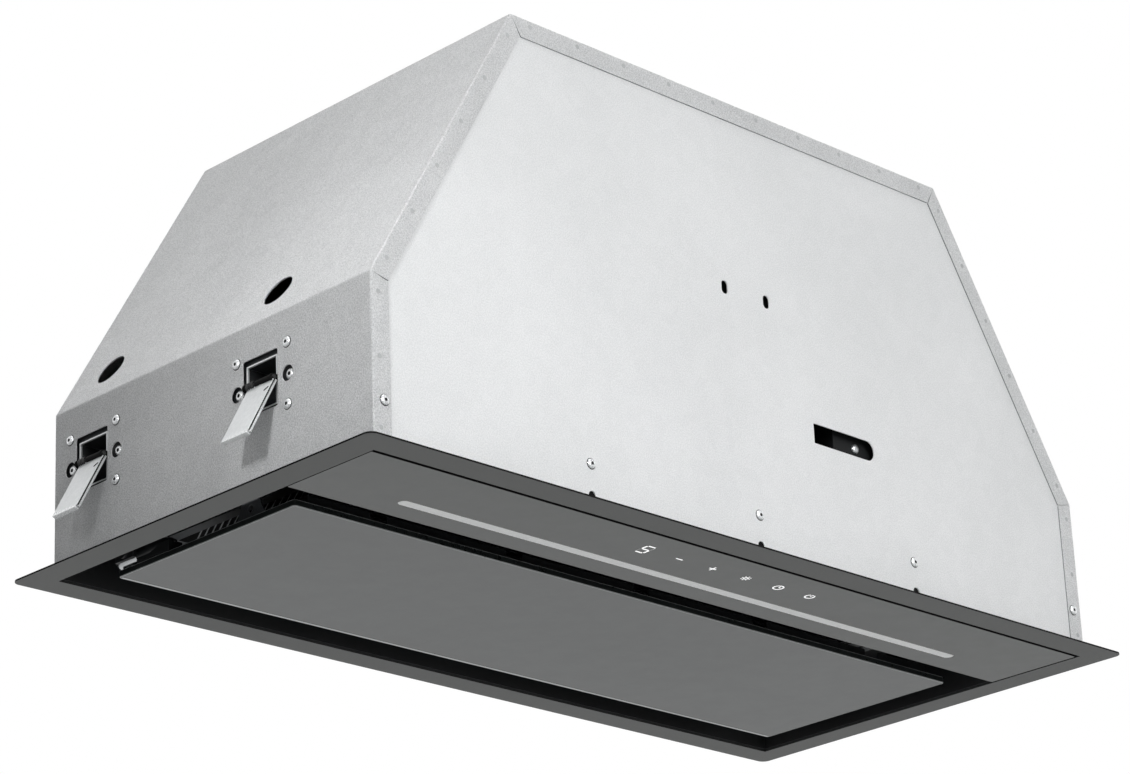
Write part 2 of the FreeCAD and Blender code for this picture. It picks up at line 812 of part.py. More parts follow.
def make_control_tray():
    """Open-bottomed cover over the boards, standing on the control glass."""
    top = "places.control_top + sizes.control_tray_height"
    body = add_body("control_tray")
    rectangle(slab(body, "Pad", "XY_Plane", "places.control_top", top), *CONTROL_WIDE, *CONTROL_DEEP)
    wall = "sizes.control_tray_wall"
    rectangle(slab(body, "Pocket", "XY_Plane", "places.control_top - sizes.past", f"{top} - {wall}"),
              f"{CONTROL_WIDE[0]} + {wall}", f"{CONTROL_WIDE[1]} - {wall}",
              f"{CONTROL_DEEP[0]} + {wall}", f"{CONTROL_DEEP[1]} - {wall}")
    return keep(body)


def make_touch_parts():
    """Touch board and the digit display beside it, both on the back of the glass."""
    deep = ("places.touch_y - sizes.touch_board_depth / 2", "places.touch_y + sizes.touch_board_depth / 2")
    digit_right = "(-sizes.digit_offset + sizes.digit_width / 2)"
    board_left = f"({digit_right} + sizes.touch_board_gap)"
    board = box((board_left, f"{board_left} + sizes.touch_board_width"), deep,
                ("places.control_top", "places.control_top + sizes.board_thickness"))
    digit = box((f"{digit_right} - sizes.digit_width", digit_right), deep,
                ("places.control_top", "places.control_top + sizes.digit_height"))
    keep(board, "touch_board")
    keep(digit, "digit_display")


make_control_glass()
make_light_diffuser()
make_light_board()
make_control_tray()
make_touch_parts()

# ----------------------------------------------------------- suction panel

TRAY_WIDE = "(places.panel_half - sizes.tray_side_margin)"
TRAY_FRONT = "(sizes.panel_front + sizes.tray_front_margin)"
TRAY_BACK = "(places.panel_back - sizes.tray_back_margin)"
TRAY_NOTCHES = ["-0.8", "-0.4", "0", "0.4", "0.8"]


def make_panel_glass():
    body = add_body("panel_glass")
    rounded(slab(body, "Pad", "XY_Plane", "sizes.panel_lift", "places.panel_top"),
            "-places.panel_half", "places.panel_half",
            "sizes.panel_front", "places.panel_back", "sizes.panel_corner")
    return keep(body)


def make_panel_tray():
    """Shallow sheet tray bonded to the glass, its front wall notched."""
    body = add_body("panel_tray")
    rim = "places.panel_top + sizes.tray_height"
    rectangle(slab(body, "Pad", "XY_Plane", "places.panel_top", rim),
              f"-{TRAY_WIDE}", TRAY_WIDE, TRAY_FRONT, TRAY_BACK)
    rectangle(slab(body, "Pocket", "XY_Plane", "places.panel_top + sizes.tray_sheet",
                   f"{rim} + sizes.past"),
              f"-{TRAY_WIDE} + sizes.tray_sheet", f"{TRAY_WIDE} - sizes.tray_sheet",
              f"{TRAY_FRONT} + sizes.tray_sheet", f"{TRAY_BACK} - sizes.tray_sheet")
    notches = slab(body, "Pocket", "XZ_Plane", f"{TRAY_FRONT} - sizes.past",
                   f"{TRAY_FRONT} + sizes.tray_sheet + sizes.past")
    for share in TRAY_NOTCHES:
        middle = f"{share} * {TRAY_WIDE}"
        rectangle(notches, f"{middle} - sizes.tray_height", f"{middle} + sizes.tray_height",
                  "places.panel_top + 2 * sizes.tray_sheet", f"{rim} + sizes.past")
    return keep(body)


def make_hinge_arm():
    """Rounded arm on the glass with the bore that the hinge pin runs in, left side."""
    long = ("places.panel_back - sizes.arm_length", "places.panel_back")
    rod = cylinder("Y", "sizes.arm_radius", *long, "-places.arm_x", "places.arm_z")
    foot = box(("-places.arm_x - sizes.arm_radius * 0.8", "-places.arm_x + sizes.arm_radius * 0.8"),
               long, ("places.panel_top", "places.arm_z"))
    reach = "(sizes.arm_radius + sizes.past)"
    bore = cylinder("X", "sizes.hinge_pin_radius + sizes.running_clearance",
                    f"-places.arm_x - {reach}", f"-places.arm_x + {reach}",
                    "places.hinge_y", "places.arm_z")
    return cut("hinge_arm_left", fuse("hinge_arm_blank", rod, foot), bore)


def make_hinge_bracket():
    """Cheek that hangs from the pan's ceiling beside the arm, left side."""
    half = "sizes.hinge_bracket_width / 2"
    deep = (f"places.hinge_y - {half}", f"places.hinge_y + {half}")
    outer = "(places.cheek_x + sizes.hinge_cheek)"
    cheek = box((f"-{outer}", "-places.cheek_x"), deep, ("sizes.hinge_bracket_drop", "places.ceiling"))
    foot = box((f"-{outer} - sizes.hinge_foot", f"-{outer}"), deep,
               ("places.ceiling - sizes.hinge_cheek", "places.ceiling"))
    hole = cylinder("X", "sizes.hinge_pin_radius", f"-{outer} - sizes.past",
                    "-places.cheek_x + sizes.past",
                    "places.hinge_y", "places.arm_z")
    return cut("hinge_bracket_left", fuse("hinge_bracket_blank", cheek, foot), hole)


def make_hinge_pin():
    outer = "(places.cheek_x + sizes.hinge_cheek)"
    stem = cylinder("X", "sizes.hinge_pin_radius", f"-{outer}", "-places.arm_x + sizes.arm_radius",
                    "places.hinge_y", "places.arm_z")
    head = cylinder("X", "sizes.hinge_head_radius", f"-{outer} - sizes.hinge_head_height", f"-{outer}",
                    "places.hinge_y", "places.arm_z")
    return fuse("hinge_pin_left", stem, head)


def make_strike():
    """Steel strike on the glass: foot, pierced trapezoid and the magnet's tab, left side."""
    half = "sizes.strike_width / 2"
    sheet = "sizes.strike_sheet"
    body = add_body("strike_left")
    outline(slab(body, "Pad", "YZ_Plane", f"-places.strike_x - {sheet}", "-places.strike_x"), [
        (f"sizes.strike_centre - {half}", "places.panel_top"),
        (f"sizes.strike_centre + {half}", "places.panel_top"),
        (f"sizes.strike_centre + {half} * 0.6", "places.strike_top"),
        (f"sizes.strike_centre - {half} * 0.6", "places.strike_top"),
    ])
    rectangle(slab(body, "Pad", "XY_Plane", f"places.strike_top - {sheet}", "places.strike_top"),
              f"-places.strike_x - {sheet} - sizes.strike_tab", "-places.strike_x",
              f"sizes.strike_centre - {half} * 0.6", f"sizes.strike_centre + {half} * 0.6")
    rectangle(slab(body, "Pad", "XY_Plane", "places.panel_top", f"places.panel_top + {sheet}"),
              f"-places.strike_x - {sheet}", "-places.strike_x + sizes.strike_foot",
              f"sizes.strike_centre - {half}", f"sizes.strike_centre + {half}")
    circle(slab(body, "Pocket", "YZ_Plane", f"-places.strike_x - 2 * {sheet}",
                f"-places.strike_x + {sheet}"),
           "sizes.strike_centre", "places.panel_top + sizes.strike_height / 2",
           "sizes.strike_hole_radius")
    return body


def make_catch_block():
    """Magnet block hanging from the ceiling over the strike's tab, left side."""
    half = "sizes.magnet_width / 2"
    return box(("-places.strike_x - sizes.strike_sheet - sizes.strike_tab",
                "-places.panel_half - sizes.magnet_side_gap"),
               (f"sizes.strike_centre - {half}", f"sizes.strike_centre + {half}"),
               ("places.strike_top + sizes.magnet_gap", "places.ceiling"), "catch_block_left")


make_panel_glass()
make_panel_tray()
for label, maker in (("panel_hinge_arms", make_hinge_arm), ("hinge_brackets", make_hinge_bracket),
                     ("hinge_pins", make_hinge_pin), ("panel_strikes", make_strike),
                     ("catch_blocks", make_catch_block)):
    left_piece = maker()
    keep(group(label, left_piece, mirrored(f"{label}_other", left_piece)))

# ----------------------------------------------------------- grease filters

LATCH_HALF = "(sizes.latch_width / 2)"
LATCH_FRONT = "places.filter_front"
LATCH_BACK = "(places.filter_front + sizes.latch_depth)"
LATCH_ROOM_BACK = f"({LATCH_BACK} + sizes.latch_travel + sizes.latch_side_clearance)"
LATCH_ROOM_TOP = "(places.latch_top + sizes.latch_side_clearance)"


def latch_room(body):
    """Pocket that leaves room for the latch and its travel."""
    rectangle(slab(body, "Pocket", "XY_Plane", "places.filter_base - sizes.past", LATCH_ROOM_TOP),
              f"-places.filter_x - {LATCH_HALF} - sizes.latch_side_clearance",
              f"-places.filter_x + {LATCH_HALF} + sizes.latch_side_clearance",
              "places.filter_front - sizes.past", LATCH_ROOM_BACK)


def make_filter_frame():
    """Aluminium frame with two lugs at the back, left side."""
    body = add_body("filter_frame_left")
    rectangle(slab(body, "Pad", "XY_Plane", "places.filter_base", "places.ceiling"),
              "-places.filter_outer", "-places.filter_inner",
              "places.filter_front", "places.filter_back")
    rectangle(slab(body, "Pocket", "XY_Plane", "places.filter_base - sizes.past",
                   "places.ceiling + sizes.past"),
              "-places.filter_outer + sizes.filter_rim", "-places.filter_inner - sizes.filter_rim",
              "places.filter_front + sizes.filter_rim", "places.filter_back - sizes.filter_rim")
    lugs = slab(body, "Pad", "XY_Plane", "places.tongue_base", "places.tongue_top")
    for share in ("-0.3", "0.3"):
        middle = f"-places.filter_x + {share} * sizes.filter_width"
        rectangle(lugs, f"{middle} - sizes.lug_width / 2", f"{middle} + sizes.lug_width / 2",
                  "places.filter_back - sizes.past", "places.filter_back + sizes.latch_tongue")
    latch_room(body)
    return keep(body)


def make_filter_mesh():
    """Slotted face inside the frame, left side."""
    left = "(-places.filter_outer + sizes.filter_rim)"
    front = "(places.filter_front + sizes.filter_rim)"
    top = "(places.mesh_base + sizes.mesh_thickness)"
    body = add_body("filter_mesh_left")
    rectangle(slab(body, "Pad", "XY_Plane", "places.mesh_base", top),
              left, "-places.filter_inner - sizes.filter_rim",
              front, "places.filter_back - sizes.filter_rim")
    sketch = slab(body, "Pocket", "XY_Plane", "places.mesh_base - sizes.past", f"{top} + sizes.past")
    slot_left = f"({left} + sizes.mesh_side_margin)"
    slot_front = f"({front} + sizes.mesh_end_margin)"
    rectangle(sketch, slot_left, f"{slot_left} + sizes.mesh_slot_length",
              slot_front, f"{slot_front} + sizes.mesh_slot_width")
    slot = body.Group[-1]
    across = pattern(body, sketch, "H_Axis", "sizes.mesh_column_pitch",
                     "floor((sizes.filter_width - 2 * sizes.filter_rim) / sizes.mesh_column_pitch)")
    along = pattern(body, sketch, "V_Axis", "sizes.mesh_slot_pitch",
                    "floor((sizes.filter_depth - 2 * sizes.filter_rim - sizes.mesh_end_margin"
                    " - sizes.mesh_side_margin) / sizes.mesh_slot_pitch)")
    rows = body.newObject("PartDesign::MultiTransform", "MultiTransform")
    rows.Originals = [slot]
    rows.Transformations = [across, along]
    rows.Refine = False
    body.Tip = rows
    latch_room(body)
    return keep(body)


def make_filter_latch():
    """Sliding latch with a finger hollow and the tongue that rests on the keeper, left side."""
    body = add_body("filter_latch_left")
    base = "(places.latch_top - sizes.latch_height)"
    rectangle(slab(body, "Pad", "XY_Plane", base, "places.latch_top"),
              f"-places.filter_x - {LATCH_HALF}", f"-places.filter_x + {LATCH_HALF}",
              LATCH_FRONT, LATCH_BACK)
    half_tongue = "sizes.latch_tongue_width / 2"
    rectangle(slab(body, "Pad", "XY_Plane", "places.tongue_base", "places.tongue_top"),
              f"-places.filter_x - {half_tongue}", f"-places.filter_x + {half_tongue}",
              f"{LATCH_FRONT} - sizes.latch_tongue", f"{LATCH_FRONT} + sizes.past")
    rounded(slab(body, "Pocket", "XY_Plane", f"{base} - sizes.past", f"{base} + sizes.latch_height * 0.6"),
            f"-places.filter_x - {LATCH_HALF} * 0.65", f"-places.filter_x + {LATCH_HALF} * 0.65",
            f"{LATCH_FRONT} + sizes.finger_margin", f"{LATCH_BACK} - sizes.finger_margin",
            "sizes.finger_corner")
    return keep(body)


def make_keeper(label, edge, sign):
    """Angle rail under the ceiling that carries one edge of both filters."""
    lip_far = f"({edge} + {sign} * (sizes.keeper_gap + sizes.keeper_lip))"
    low = "(places.ceiling - sizes.keeper_drop)"
    wide = ("-places.filter_outer", "places.filter_outer")
    first, second = sorted((f"{edge} + {sign} * sizes.keeper_gap", lip_far), key=value)
    lip = box(wide, (first, second), (low, f"{low} + sizes.keeper_sheet"))
    first, second = sorted((lip_far, f"{lip_far} + {sign} * sizes.keeper_sheet"), key=value)
    wall = box(wide, (first, second), (low, "places.ceiling"))
    return fuse(label, lip, wall)


make_filter_frame()
make_filter_mesh()
make_filter_latch()
for left_piece in nodes[-3:]:
    keep(mirrored(left_piece.Label.replace("left", "right"), left_piece))
keep(group("filter_keepers", make_keeper("keeper_front", "places.filter_front", -1),
           make_keeper("keeper_back", "places.filter_back", 1)))

# -------------------------------------------------------------- wall clips

CLIP_TURN = {"left": Rotation(), "right": Rotation(Vector(0, 0, 1), 180)}
PIVOT_X = "(-sizes.casing_sheet - sizes.clip_pivot_out)"
CHEEK_OUT = "(sizes.window_width / 2 - sizes.cage_cheek_gap)"
CHEEK_IN = f"({CHEEK_OUT} - sizes.cage_sheet)"


def at_clip(item, side, middle):
    """Put a piece drawn about the wall's inner face, +X inwards, at one clip."""
    return place(item, f"{SIDES[side]} * places.collar_x", middle, "sizes.clip_height", CLIP_TURN[side])


def make_clip_cage(label, side, middle):
    """Riveted plate with two cheeks whose ears reach out through the window."""
    body = add_body(label)
    deep = "sizes.cage_depth"
    half = "(sizes.window_height / 2 - sizes.cage_cheek_gap)"
    outline(slab(body, "Pad", "XZ_Plane", f"-{CHEEK_OUT}", CHEEK_OUT), [
        ("0", f"-{half}"), (deep, f"-{half}"), (deep, half), ("0", half),
        ("-sizes.casing_sheet - sizes.ear_reach", "sizes.ear_nose"),
        ("-sizes.casing_sheet - sizes.ear_reach", "-sizes.ear_nose"),
    ])
    rectangle(slab(body, "Pad", "YZ_Plane", "0", "sizes.cage_sheet"),
              "-sizes.cage_half_width", "sizes.cage_half_width",
              "-sizes.cage_half_height", "sizes.cage_half_height")
    rectangle(slab(body, "Pocket", "YZ_Plane", "-sizes.casing_sheet - sizes.ear_reach - sizes.past",
                   f"{deep} - sizes.cage_sheet"),
              f"-{CHEEK_IN}", CHEEK_IN, f"-{half}", half)
    holes = slab(body, "Pocket", "YZ_Plane", BELOW, "sizes.cage_sheet + sizes.past")
    for column in (-1, 1):
        y = f"{column} * sizes.clip_rivet_half_width"
        circle(holes, y, "0", "sizes.screw_shank_radius")
        for row in (-1, 1):
            circle(holes, y, f"{row} * sizes.clip_rivet_half_height", "sizes.rivet_shank_radius")
    circle(slab(body, "Pocket", "XZ_Plane", f"-{CHEEK_OUT} - sizes.past", f"{CHEEK_OUT} + sizes.past"),
           PIVOT_X, "0", "sizes.clip_pin_radius")
    return keep(at_clip(body, side, middle))


def tilted(along, across):
    """Point on the tab, measured down it from the pivot and square to it."""
    return (f"{PIVOT_X} - ({along}) * sin(sizes.tab_angle) + ({across}) * cos(sizes.tab_angle)",
            f"-({along}) * cos(sizes.tab_angle) - ({across}) * sin(sizes.tab_angle)")


def make_clip_tab(label, side, middle):
    """Sprung tab: flat blade with a rolled eye over part of its width."""
    body = add_body(label)
    half = "sizes.tab_width / 2"
    thick = "sizes.tab_thickness / 2"
    blade = slab(body, "Pad", "XZ_Plane", f"-{half}", half)
    start = "sizes.tab_barrel_radius + sizes.past"
    outline(blade, [tilted(start, f"-{thick}"), tilted("sizes.tab_length", f"-{thick}"),
                    tilted("sizes.tab_length", thick), tilted(start, thick)])
    neck = slab(body, "Pad", "XZ_Plane", f"-{half}", f"-{half} + sizes.tab_barrel_length")
    outline(neck, [tilted("0", f"-{thick}"), tilted(f"{start} + sizes.past", f"-{thick}"),
                   tilted(f"{start} + sizes.past", thick), tilted("0", thick)])
    circle(slab(body, "Pad", "XZ_Plane", f"-{half}", f"-{half} + sizes.tab_barrel_length"),
           PIVOT_X, "0", "sizes.tab_barrel_radius")
    circle(slab(body, "Pocket", "XZ_Plane", f"-{half} - sizes.past", f"{half} + sizes.past"),
           PIVOT_X, "0", "sizes.clip_pin_radius + sizes.running_clearance")
    rounded(slab(body, "Pocket", "YZ_Plane", "-sizes.tab_length / 2", "0"),
            "sizes.tab_slot_y - sizes.tab_slot_width / 2", "sizes.tab_slot_y + sizes.tab_slot_width / 2",
            "sizes.tab_slot_z - sizes.tab_slot_length / 2", "sizes.tab_slot_z + sizes.tab_slot_length / 2",
            "sizes.tab_slot_width / 3")
    return keep(at_clip(body, side, middle))


def make_clip_spring(label, side, middle):
    """Torsion spring round the pin: one leg along the tab, the other into the cage."""
    radius, wire = value("sizes.spring_radius"), value("sizes.spring_wire_radius")
    leg, pitch = value("sizes.spring_leg"), value("sizes.spring_pitch")
    height = pitch * value("sizes.spring_turns")
    coil = Part.makeHelix(pitch, height, radius)
    first, last = Vector(radius, 0, 0), Vector(radius, 0, height)
    rise = Vector(0, radius, pitch / math.tau).normalize() * leg
    path = Part.Wire([Part.makeLine(first - rise, first), *coil.Edges, Part.makeLine(last, last + rise)])
    section = Part.Wire(Part.makeCircle(wire, first - rise, rise))
    spring = doc.addObject("Part::Feature", label)
    spring.Shape = path.makePipeShell([section], True, True)
    start = value("sizes.tab_barrel_length / 2") + height / 2
    pivot = Vector(value(PIVOT_X), 0, 0)
    upright = FreeCAD.Placement(pivot + Vector(0, start, 0), Rotation(Vector(1, 0, 0), 90))
    lean = FreeCAD.Placement(Vector(), Rotation(Vector(0, 1, 0), value("sizes.tab_angle")), pivot)
    wall = Vector(SIDES[side] * value("places.collar_x"), value(middle), value("sizes.clip_height"))
    spring.Placement = FreeCAD.Placement(wall, CLIP_TURN[side]) * lean * upright
    return keep(spring, label)


def make_clip_pins():
    pins = [cylinder("Y", "sizes.clip_pin_radius", f"{middle} - {CHEEK_OUT}", f"{middle} + {CHEEK_OUT}",
                     f"{sign} * places.clip_pivot_x", "sizes.clip_height")
            for sign in SIDES.values() for middle in CLIP_PLACES.values()]
    return keep(group("clip_pins", *pins))


def make_clip_fasteners():
    """Four rivets and two screws for each clip."""
    rivets, screws = [], []
    for sign, direction in ((-1, "-X"), (1, "X")):
        for middle in CLIP_PLACES.values():
            for column in (-1, 1):
                y = f"{middle} + {column} * sizes.clip_rivet_half_width"
                screws.append(copy_at(screw, f"{sign} * places.collar_x", y, "sizes.clip_height", direction))
                for row in (-1, 1):
                    z = f"sizes.clip_height + {row} * sizes.clip_rivet_half_height"
                    rivets.append(copy_at(rivet, f"{sign} * places.half_width", y, z, direction))
    keep(group("clip_rivets", *rivets))
    keep(group("clip_screws", *screws))


for end, middle in CLIP_PLACES.items():
    for side in SIDES:
        make_clip_cage(f"clip_cage_{end}_{side}", side, middle)
        make_clip_tab(f"clip_tab_{end}_{side}", side, middle)
        make_clip_spring(f"clip_spring_{end}_{side}", side, middle)
make_clip_pins()
make_clip_fasteners()

# ------------------------------------------------------------------ blower


def volute(inset, top):
    """Side view of the scroll, four arcs about the corners of a square, drawn in by a wall."""
    y, z, step = "places.volute_y", "places.volute_z", "sizes.scroll_step"
    radii = [f"(sizes.scroll_end_radius - {quarter} * {step} - {inset})" for quarter in range(4)]
    inner = f"(places.volute_y + sizes.scroll_end_radius - sizes.outlet_depth + {inset})"
    tongue = f"{z} + sqrt({radii[3]}^2 - ({inner} - {y} + {step})^2)"
    return [
        (f"{y} + {radii[0]}", top),
        (f"{y} + {radii[0]}", z, f"-{radii[0]}"),
        (y, f"{z} - {radii[0]}", f"-{radii[1]}"),
        (f"{y} - {radii[1]}", f"{z} - {step}", f"-{radii[2]}"),
        (f"{y} - {step}", f"{z} - {step} + {radii[2]}", f"-{radii[3]}"),
        (inner, tongue),
        (inner, top),
    ]


def make_scroll_half():
    """Left half of the scroll with its inlet collar."""
    body = add_body("scroll_left")
    side = "-sizes.scroll_half_width"
    centre = ("sizes.blower_axis_y", "sizes.blower_axis_z")
    outline(slab(body, "Pad", "YZ_Plane", side, "0"), volute("0", "places.scroll_top"))
    outline(slab(body, "Pocket", "YZ_Plane", f"{side} + sizes.scroll_wall", "sizes.past"),
            volute("sizes.scroll_wall", "places.scroll_top + sizes.past"))
    circle(slab(body, "Pad", "YZ_Plane", f"{side} - sizes.inlet_collar", f"{side} + sizes.scroll_wall"),
           *centre, "sizes.inlet_radius + sizes.scroll_wall")
    circle(slab(body, "Pocket", "YZ_Plane", f"{side} - sizes.inlet_collar - sizes.past",
                f"{side} + sizes.scroll_wall + sizes.past"),
           *centre, "sizes.inlet_radius")
    return keep(body)


def on_shaft(item):
    """Put a piece drawn about the X axis on the blower's shaft."""
    return place(item, "0", "sizes.blower_axis_y", "sizes.blower_axis_z")


def make_impeller():
    """Double-inlet wheel: hub, middle disc, two end rings and slanted blades."""
    body = add_body("impeller")
    half = "sizes.impeller_half_width"
    rim = "sizes.impeller_radius"
    circle(slab(body, "Pad", "YZ_Plane", "-sizes.impeller_disc / 2", "sizes.impeller_disc / 2"),
           "0", "0", rim)
    circle(slab(body, "Pad", "YZ_Plane", "-sizes.hub_length * 0.7", "sizes.hub_length * 0.3"),
           "0", "0", "sizes.hub_radius")
    blade = slab(body, "Pad", "YZ_Plane", f"-{half}", half)
    outline(blade, [
        (f"{rim} - sizes.blade_depth", "0"),
        (f"{rim} - sizes.blade_setback", "sizes.blade_rake"),
        (f"{rim} - sizes.blade_setback", "sizes.blade_rake + sizes.blade_thickness"),
        (f"{rim} - sizes.blade_depth", "sizes.blade_thickness"),
    ])
    blades = body.newObject("PartDesign::PolarPattern", "PolarPattern")
    blades.Originals = [body.Group[-2]]
    blades.Axis = (blade, ["N_Axis"])
    blades.Angle = 360
    blades.setExpression("Occurrences", "sizes.blade_count")
    blades.Refine = False
    body.Tip = blades
    for side in (-1, 1):
        edges = (f"{side} * {half}", f"{side} * ({half} - sizes.impeller_ring_width)")
        first, second = sorted(edges, key=value)
        ring = slab(body, "Pad", "YZ_Plane", first, second)
        circle(ring, "0", "0", rim)
        circle(ring, "0", "0", f"{rim} - sizes.impeller_ring")
    circle(slab(body, "Pocket", "YZ_Plane", f"-{half}", half), "0", "0", "sizes.shaft_radius")
    return keep(on_shaft(body))


def ring_on_shaft(label, outer, inner, start, end):
    """Plain ring about the shaft."""
    body = add_body(label)
    sketch = slab(body, "Pad", "YZ_Plane", start, end)
    circle(sketch, "0", "0", outer)
    circle(sketch, "0", "0", inner)
    return on_shaft(body)


def make_motor():
    """Shaft, rotor core, stator, cup housing and the two bearings."""
    shaft = add_body("rotor_shaft")
    circle(slab(shaft, "Pad", "YZ_Plane", "sizes.shaft_start", "places.bracket_x"),
           "0", "0", "sizes.shaft_radius")
    keep(on_shaft(shaft))
    core = ("places.core_start", "places.core_start + sizes.core_length")
    keep(ring_on_shaft("rotor_core", "sizes.core_radius", "sizes.shaft_radius", *core))
    keep(ring_on_shaft("motor_stator", "sizes.stator_radius", "sizes.core_radius + sizes.air_gap", *core))
    housing = add_body("motor_housing")
    circle(slab(housing, "Pad", "YZ_Plane", "sizes.housing_start", "places.bracket_x"),
           "0", "0", "sizes.stator_radius + sizes.housing_wall")
    near = "sizes.housing_start + sizes.housing_wall"
    circle(slab(housing, "Pocket", "YZ_Plane", near, "places.bracket_end"),
           "0", "0", "sizes.stator_radius")
    circle(slab(housing, "Pocket", "YZ_Plane", "sizes.housing_start - sizes.past", "places.bracket_x"),
           "0", "0", "sizes.shaft_radius + sizes.housing_bore_gap")
    keep(on_shaft(housing))
    spans = ((near, f"{near} + sizes.bearing_length"),
             ("places.bracket_x - sizes.bearing_length", "places.bracket_x"))
    bearings = [ring_on_shaft(f"bearing_{index}", "sizes.bearing_radius",
                              "sizes.shaft_radius + sizes.running_clearance", *span)
                for index, span in enumerate(spans)]
    keep(group("motor_bearings", *bearings))


def make_motor_bracket():
    """Disc that closes the motor, with three arms to posts on the scroll."""
    body = add_body("motor_bracket")
    span = ("places.bracket_x", "places.bracket_end")
    circle(slab(body, "Pad", "YZ_Plane", *span), "0", "0", "sizes.stator_radius + sizes.housing_wall")
    arm = slab(body, "Pad", "YZ_Plane", *span)
    rectangle(arm, "-sizes.bracket_arm_width / 2", "sizes.bracket_arm_width / 2",
              "0", "sizes.bracket_post_circle")
    spread(body, arm)
    post = slab(body, "Pad", "YZ_Plane", "sizes.scroll_half_width", span[1])
    circle(post, "0", "sizes.bracket_post_circle", "sizes.bracket_post_radius")
    spread(body, post)
    hole = slab(body, "Pocket", "YZ_Plane", "sizes.scroll_half_width - sizes.past",
                "places.bracket_end + sizes.past")
    circle(hole, "0", "sizes.bracket_post_circle", "sizes.screw_shank_radius")
    spread(body, hole)
    return keep(on_shaft(body))


def spread(body, sketch):
    """Repeat the body's last feature three times about the shaft."""
    thirds = body.newObject("PartDesign::PolarPattern", "PolarPattern")
    thirds.Originals = [body.Group[-2]]
    thirds.Axis = (sketch, ["N_Axis"])
    thirds.Angle = 360
    thirds.Occurrences = 3
    body.Tip = thirds


def make_blower_screws():
    """Screws through the bracket's posts, heads outside."""
    screws = []
    for angle in (90, 210, 330):
        screws.append(copy_at(screw, "places.bracket_end",
                              f"sizes.blower_axis_y + sizes.bracket_post_circle * cos({angle})",
                              f"sizes.blower_axis_z + sizes.bracket_post_circle * sin({angle})", "X"))
    return keep(group("blower_screws", *screws))


keep(mirrored("scroll_right", make_scroll_half()))
make_impeller()
make_motor()
make_motor_bracket()
make_blower_screws()

# ------------------------------------------------------------- duct spigot

KNUCKLE_STEP = "(sizes.knuckle_length + sizes.knuckle_gap)"


def make_duct_spigot():
    """Round duct collar with a base flange and the ledge that the flaps close on."""
    roof = "sizes.casing_height"
    middle = ("0", "places.spigot_y")
    ledge_top = "places.flap_z - sizes.flap_thickness / 2 - sizes.ledge_gap"
    body = add_body("duct_spigot")
    under = f"{roof} - sizes.past"
    over = f"{roof} + sizes.spigot_height + sizes.past"
    circle(slab(body, "Pad", "XY_Plane", roof, f"{roof} + sizes.spigot_base"),
           *middle, "sizes.spigot_base_radius")
    circle(slab(body, "Pad", "XY_Plane", roof, f"{roof} + sizes.spigot_height"),
           *middle, "sizes.spigot_radius")
    circle(slab(body, "Pocket", "XY_Plane", ledge_top, over), *middle, "places.spigot_bore")
    circle(slab(body, "Pocket", "XY_Plane", under, f"{ledge_top} - sizes.ledge_thickness"),
           *middle, "places.spigot_bore")
    circle(slab(body, "Pocket", "XY_Plane", under, over),
           *middle, "places.spigot_bore - sizes.ledge_width")
    screws = slab(body, "Pocket", "XY_Plane", under, f"{roof} + sizes.spigot_base + sizes.past")
    for signs in SPIGOT_SCREW_SIGNS:
        circle(screws, *spigot_screw_spot(signs), "sizes.screw_shank_radius")
    reach = "(sizes.spigot_radius + sizes.past)"
    circle(slab(body, "Pocket", "XZ_Plane", f"places.spigot_y - {reach}", f"places.spigot_y + {reach}"),
           "0", "places.flap_z", "sizes.flap_pin_radius")
    return keep(body)


def make_flap(label, side, first_knuckle):
    """Half-round flap with two knuckles on the shared pin."""
    edge = "(sizes.knuckle_radius + sizes.knuckle_side_gap)"
    radius = "(places.spigot_bore - sizes.flap_gap)"
    half = "sizes.flap_thickness / 2"
    deep = f"sqrt({radius}^2 - {edge}^2)"
    body = add_body(label)
    outline(slab(body, "Pad", "XY_Plane", f"-{half}", half), [
        (f"{side} * {edge}", f"-{side} * {deep}", radius),
        (f"{side} * {radius} * cos(30)", f"-{side} * {radius} / 2", radius),
        (f"{side} * {radius} * cos(30)", f"{side} * {radius} / 2", radius),
        (f"{side} * {edge}", f"{side} * {deep}"),
    ])
    for index in (first_knuckle, first_knuckle + 2):
        start = f"({index} - 2) * {KNUCKLE_STEP} + sizes.knuckle_gap / 2"
        span = (start, f"{start} + sizes.knuckle_length")
        circle(slab(body, "Pad", "XZ_Plane", *span), "0", "0", "sizes.knuckle_radius")
        rectangle(slab(body, "Pad", "XZ_Plane", *span), "0", f"{side} * ({edge} + sizes.past)",
                  f"-{half}", half)
    circle(slab(body, "Pocket", "XZ_Plane", f"-{radius}", radius), "0", "0",
           "sizes.flap_pin_radius + sizes.running_clearance")
    return keep(place(body, "0", "places.spigot_y", "places.flap_z"))


make_duct_spigot()
make_flap("flap_left", -1, 0)
make_flap("flap_right", 1, 1)
keep(cylinder("Y", "sizes.flap_pin_radius", "places.spigot_y - sizes.spigot_radius",
              "places.spigot_y + sizes.spigot_radius", "0", "places.flap_z"), "flap_pin")
SPIGOT_SCREW_SEAT = "sizes.casing_height + sizes.spigot_base"
keep(group("spigot_screws", *(copy_at(screw, *spigot_screw_spot(signs), SPIGOT_SCREW_SEAT)
                              for signs in SPIGOT_SCREW_SIGNS)))

# --------------------------------------------------------------- electrics


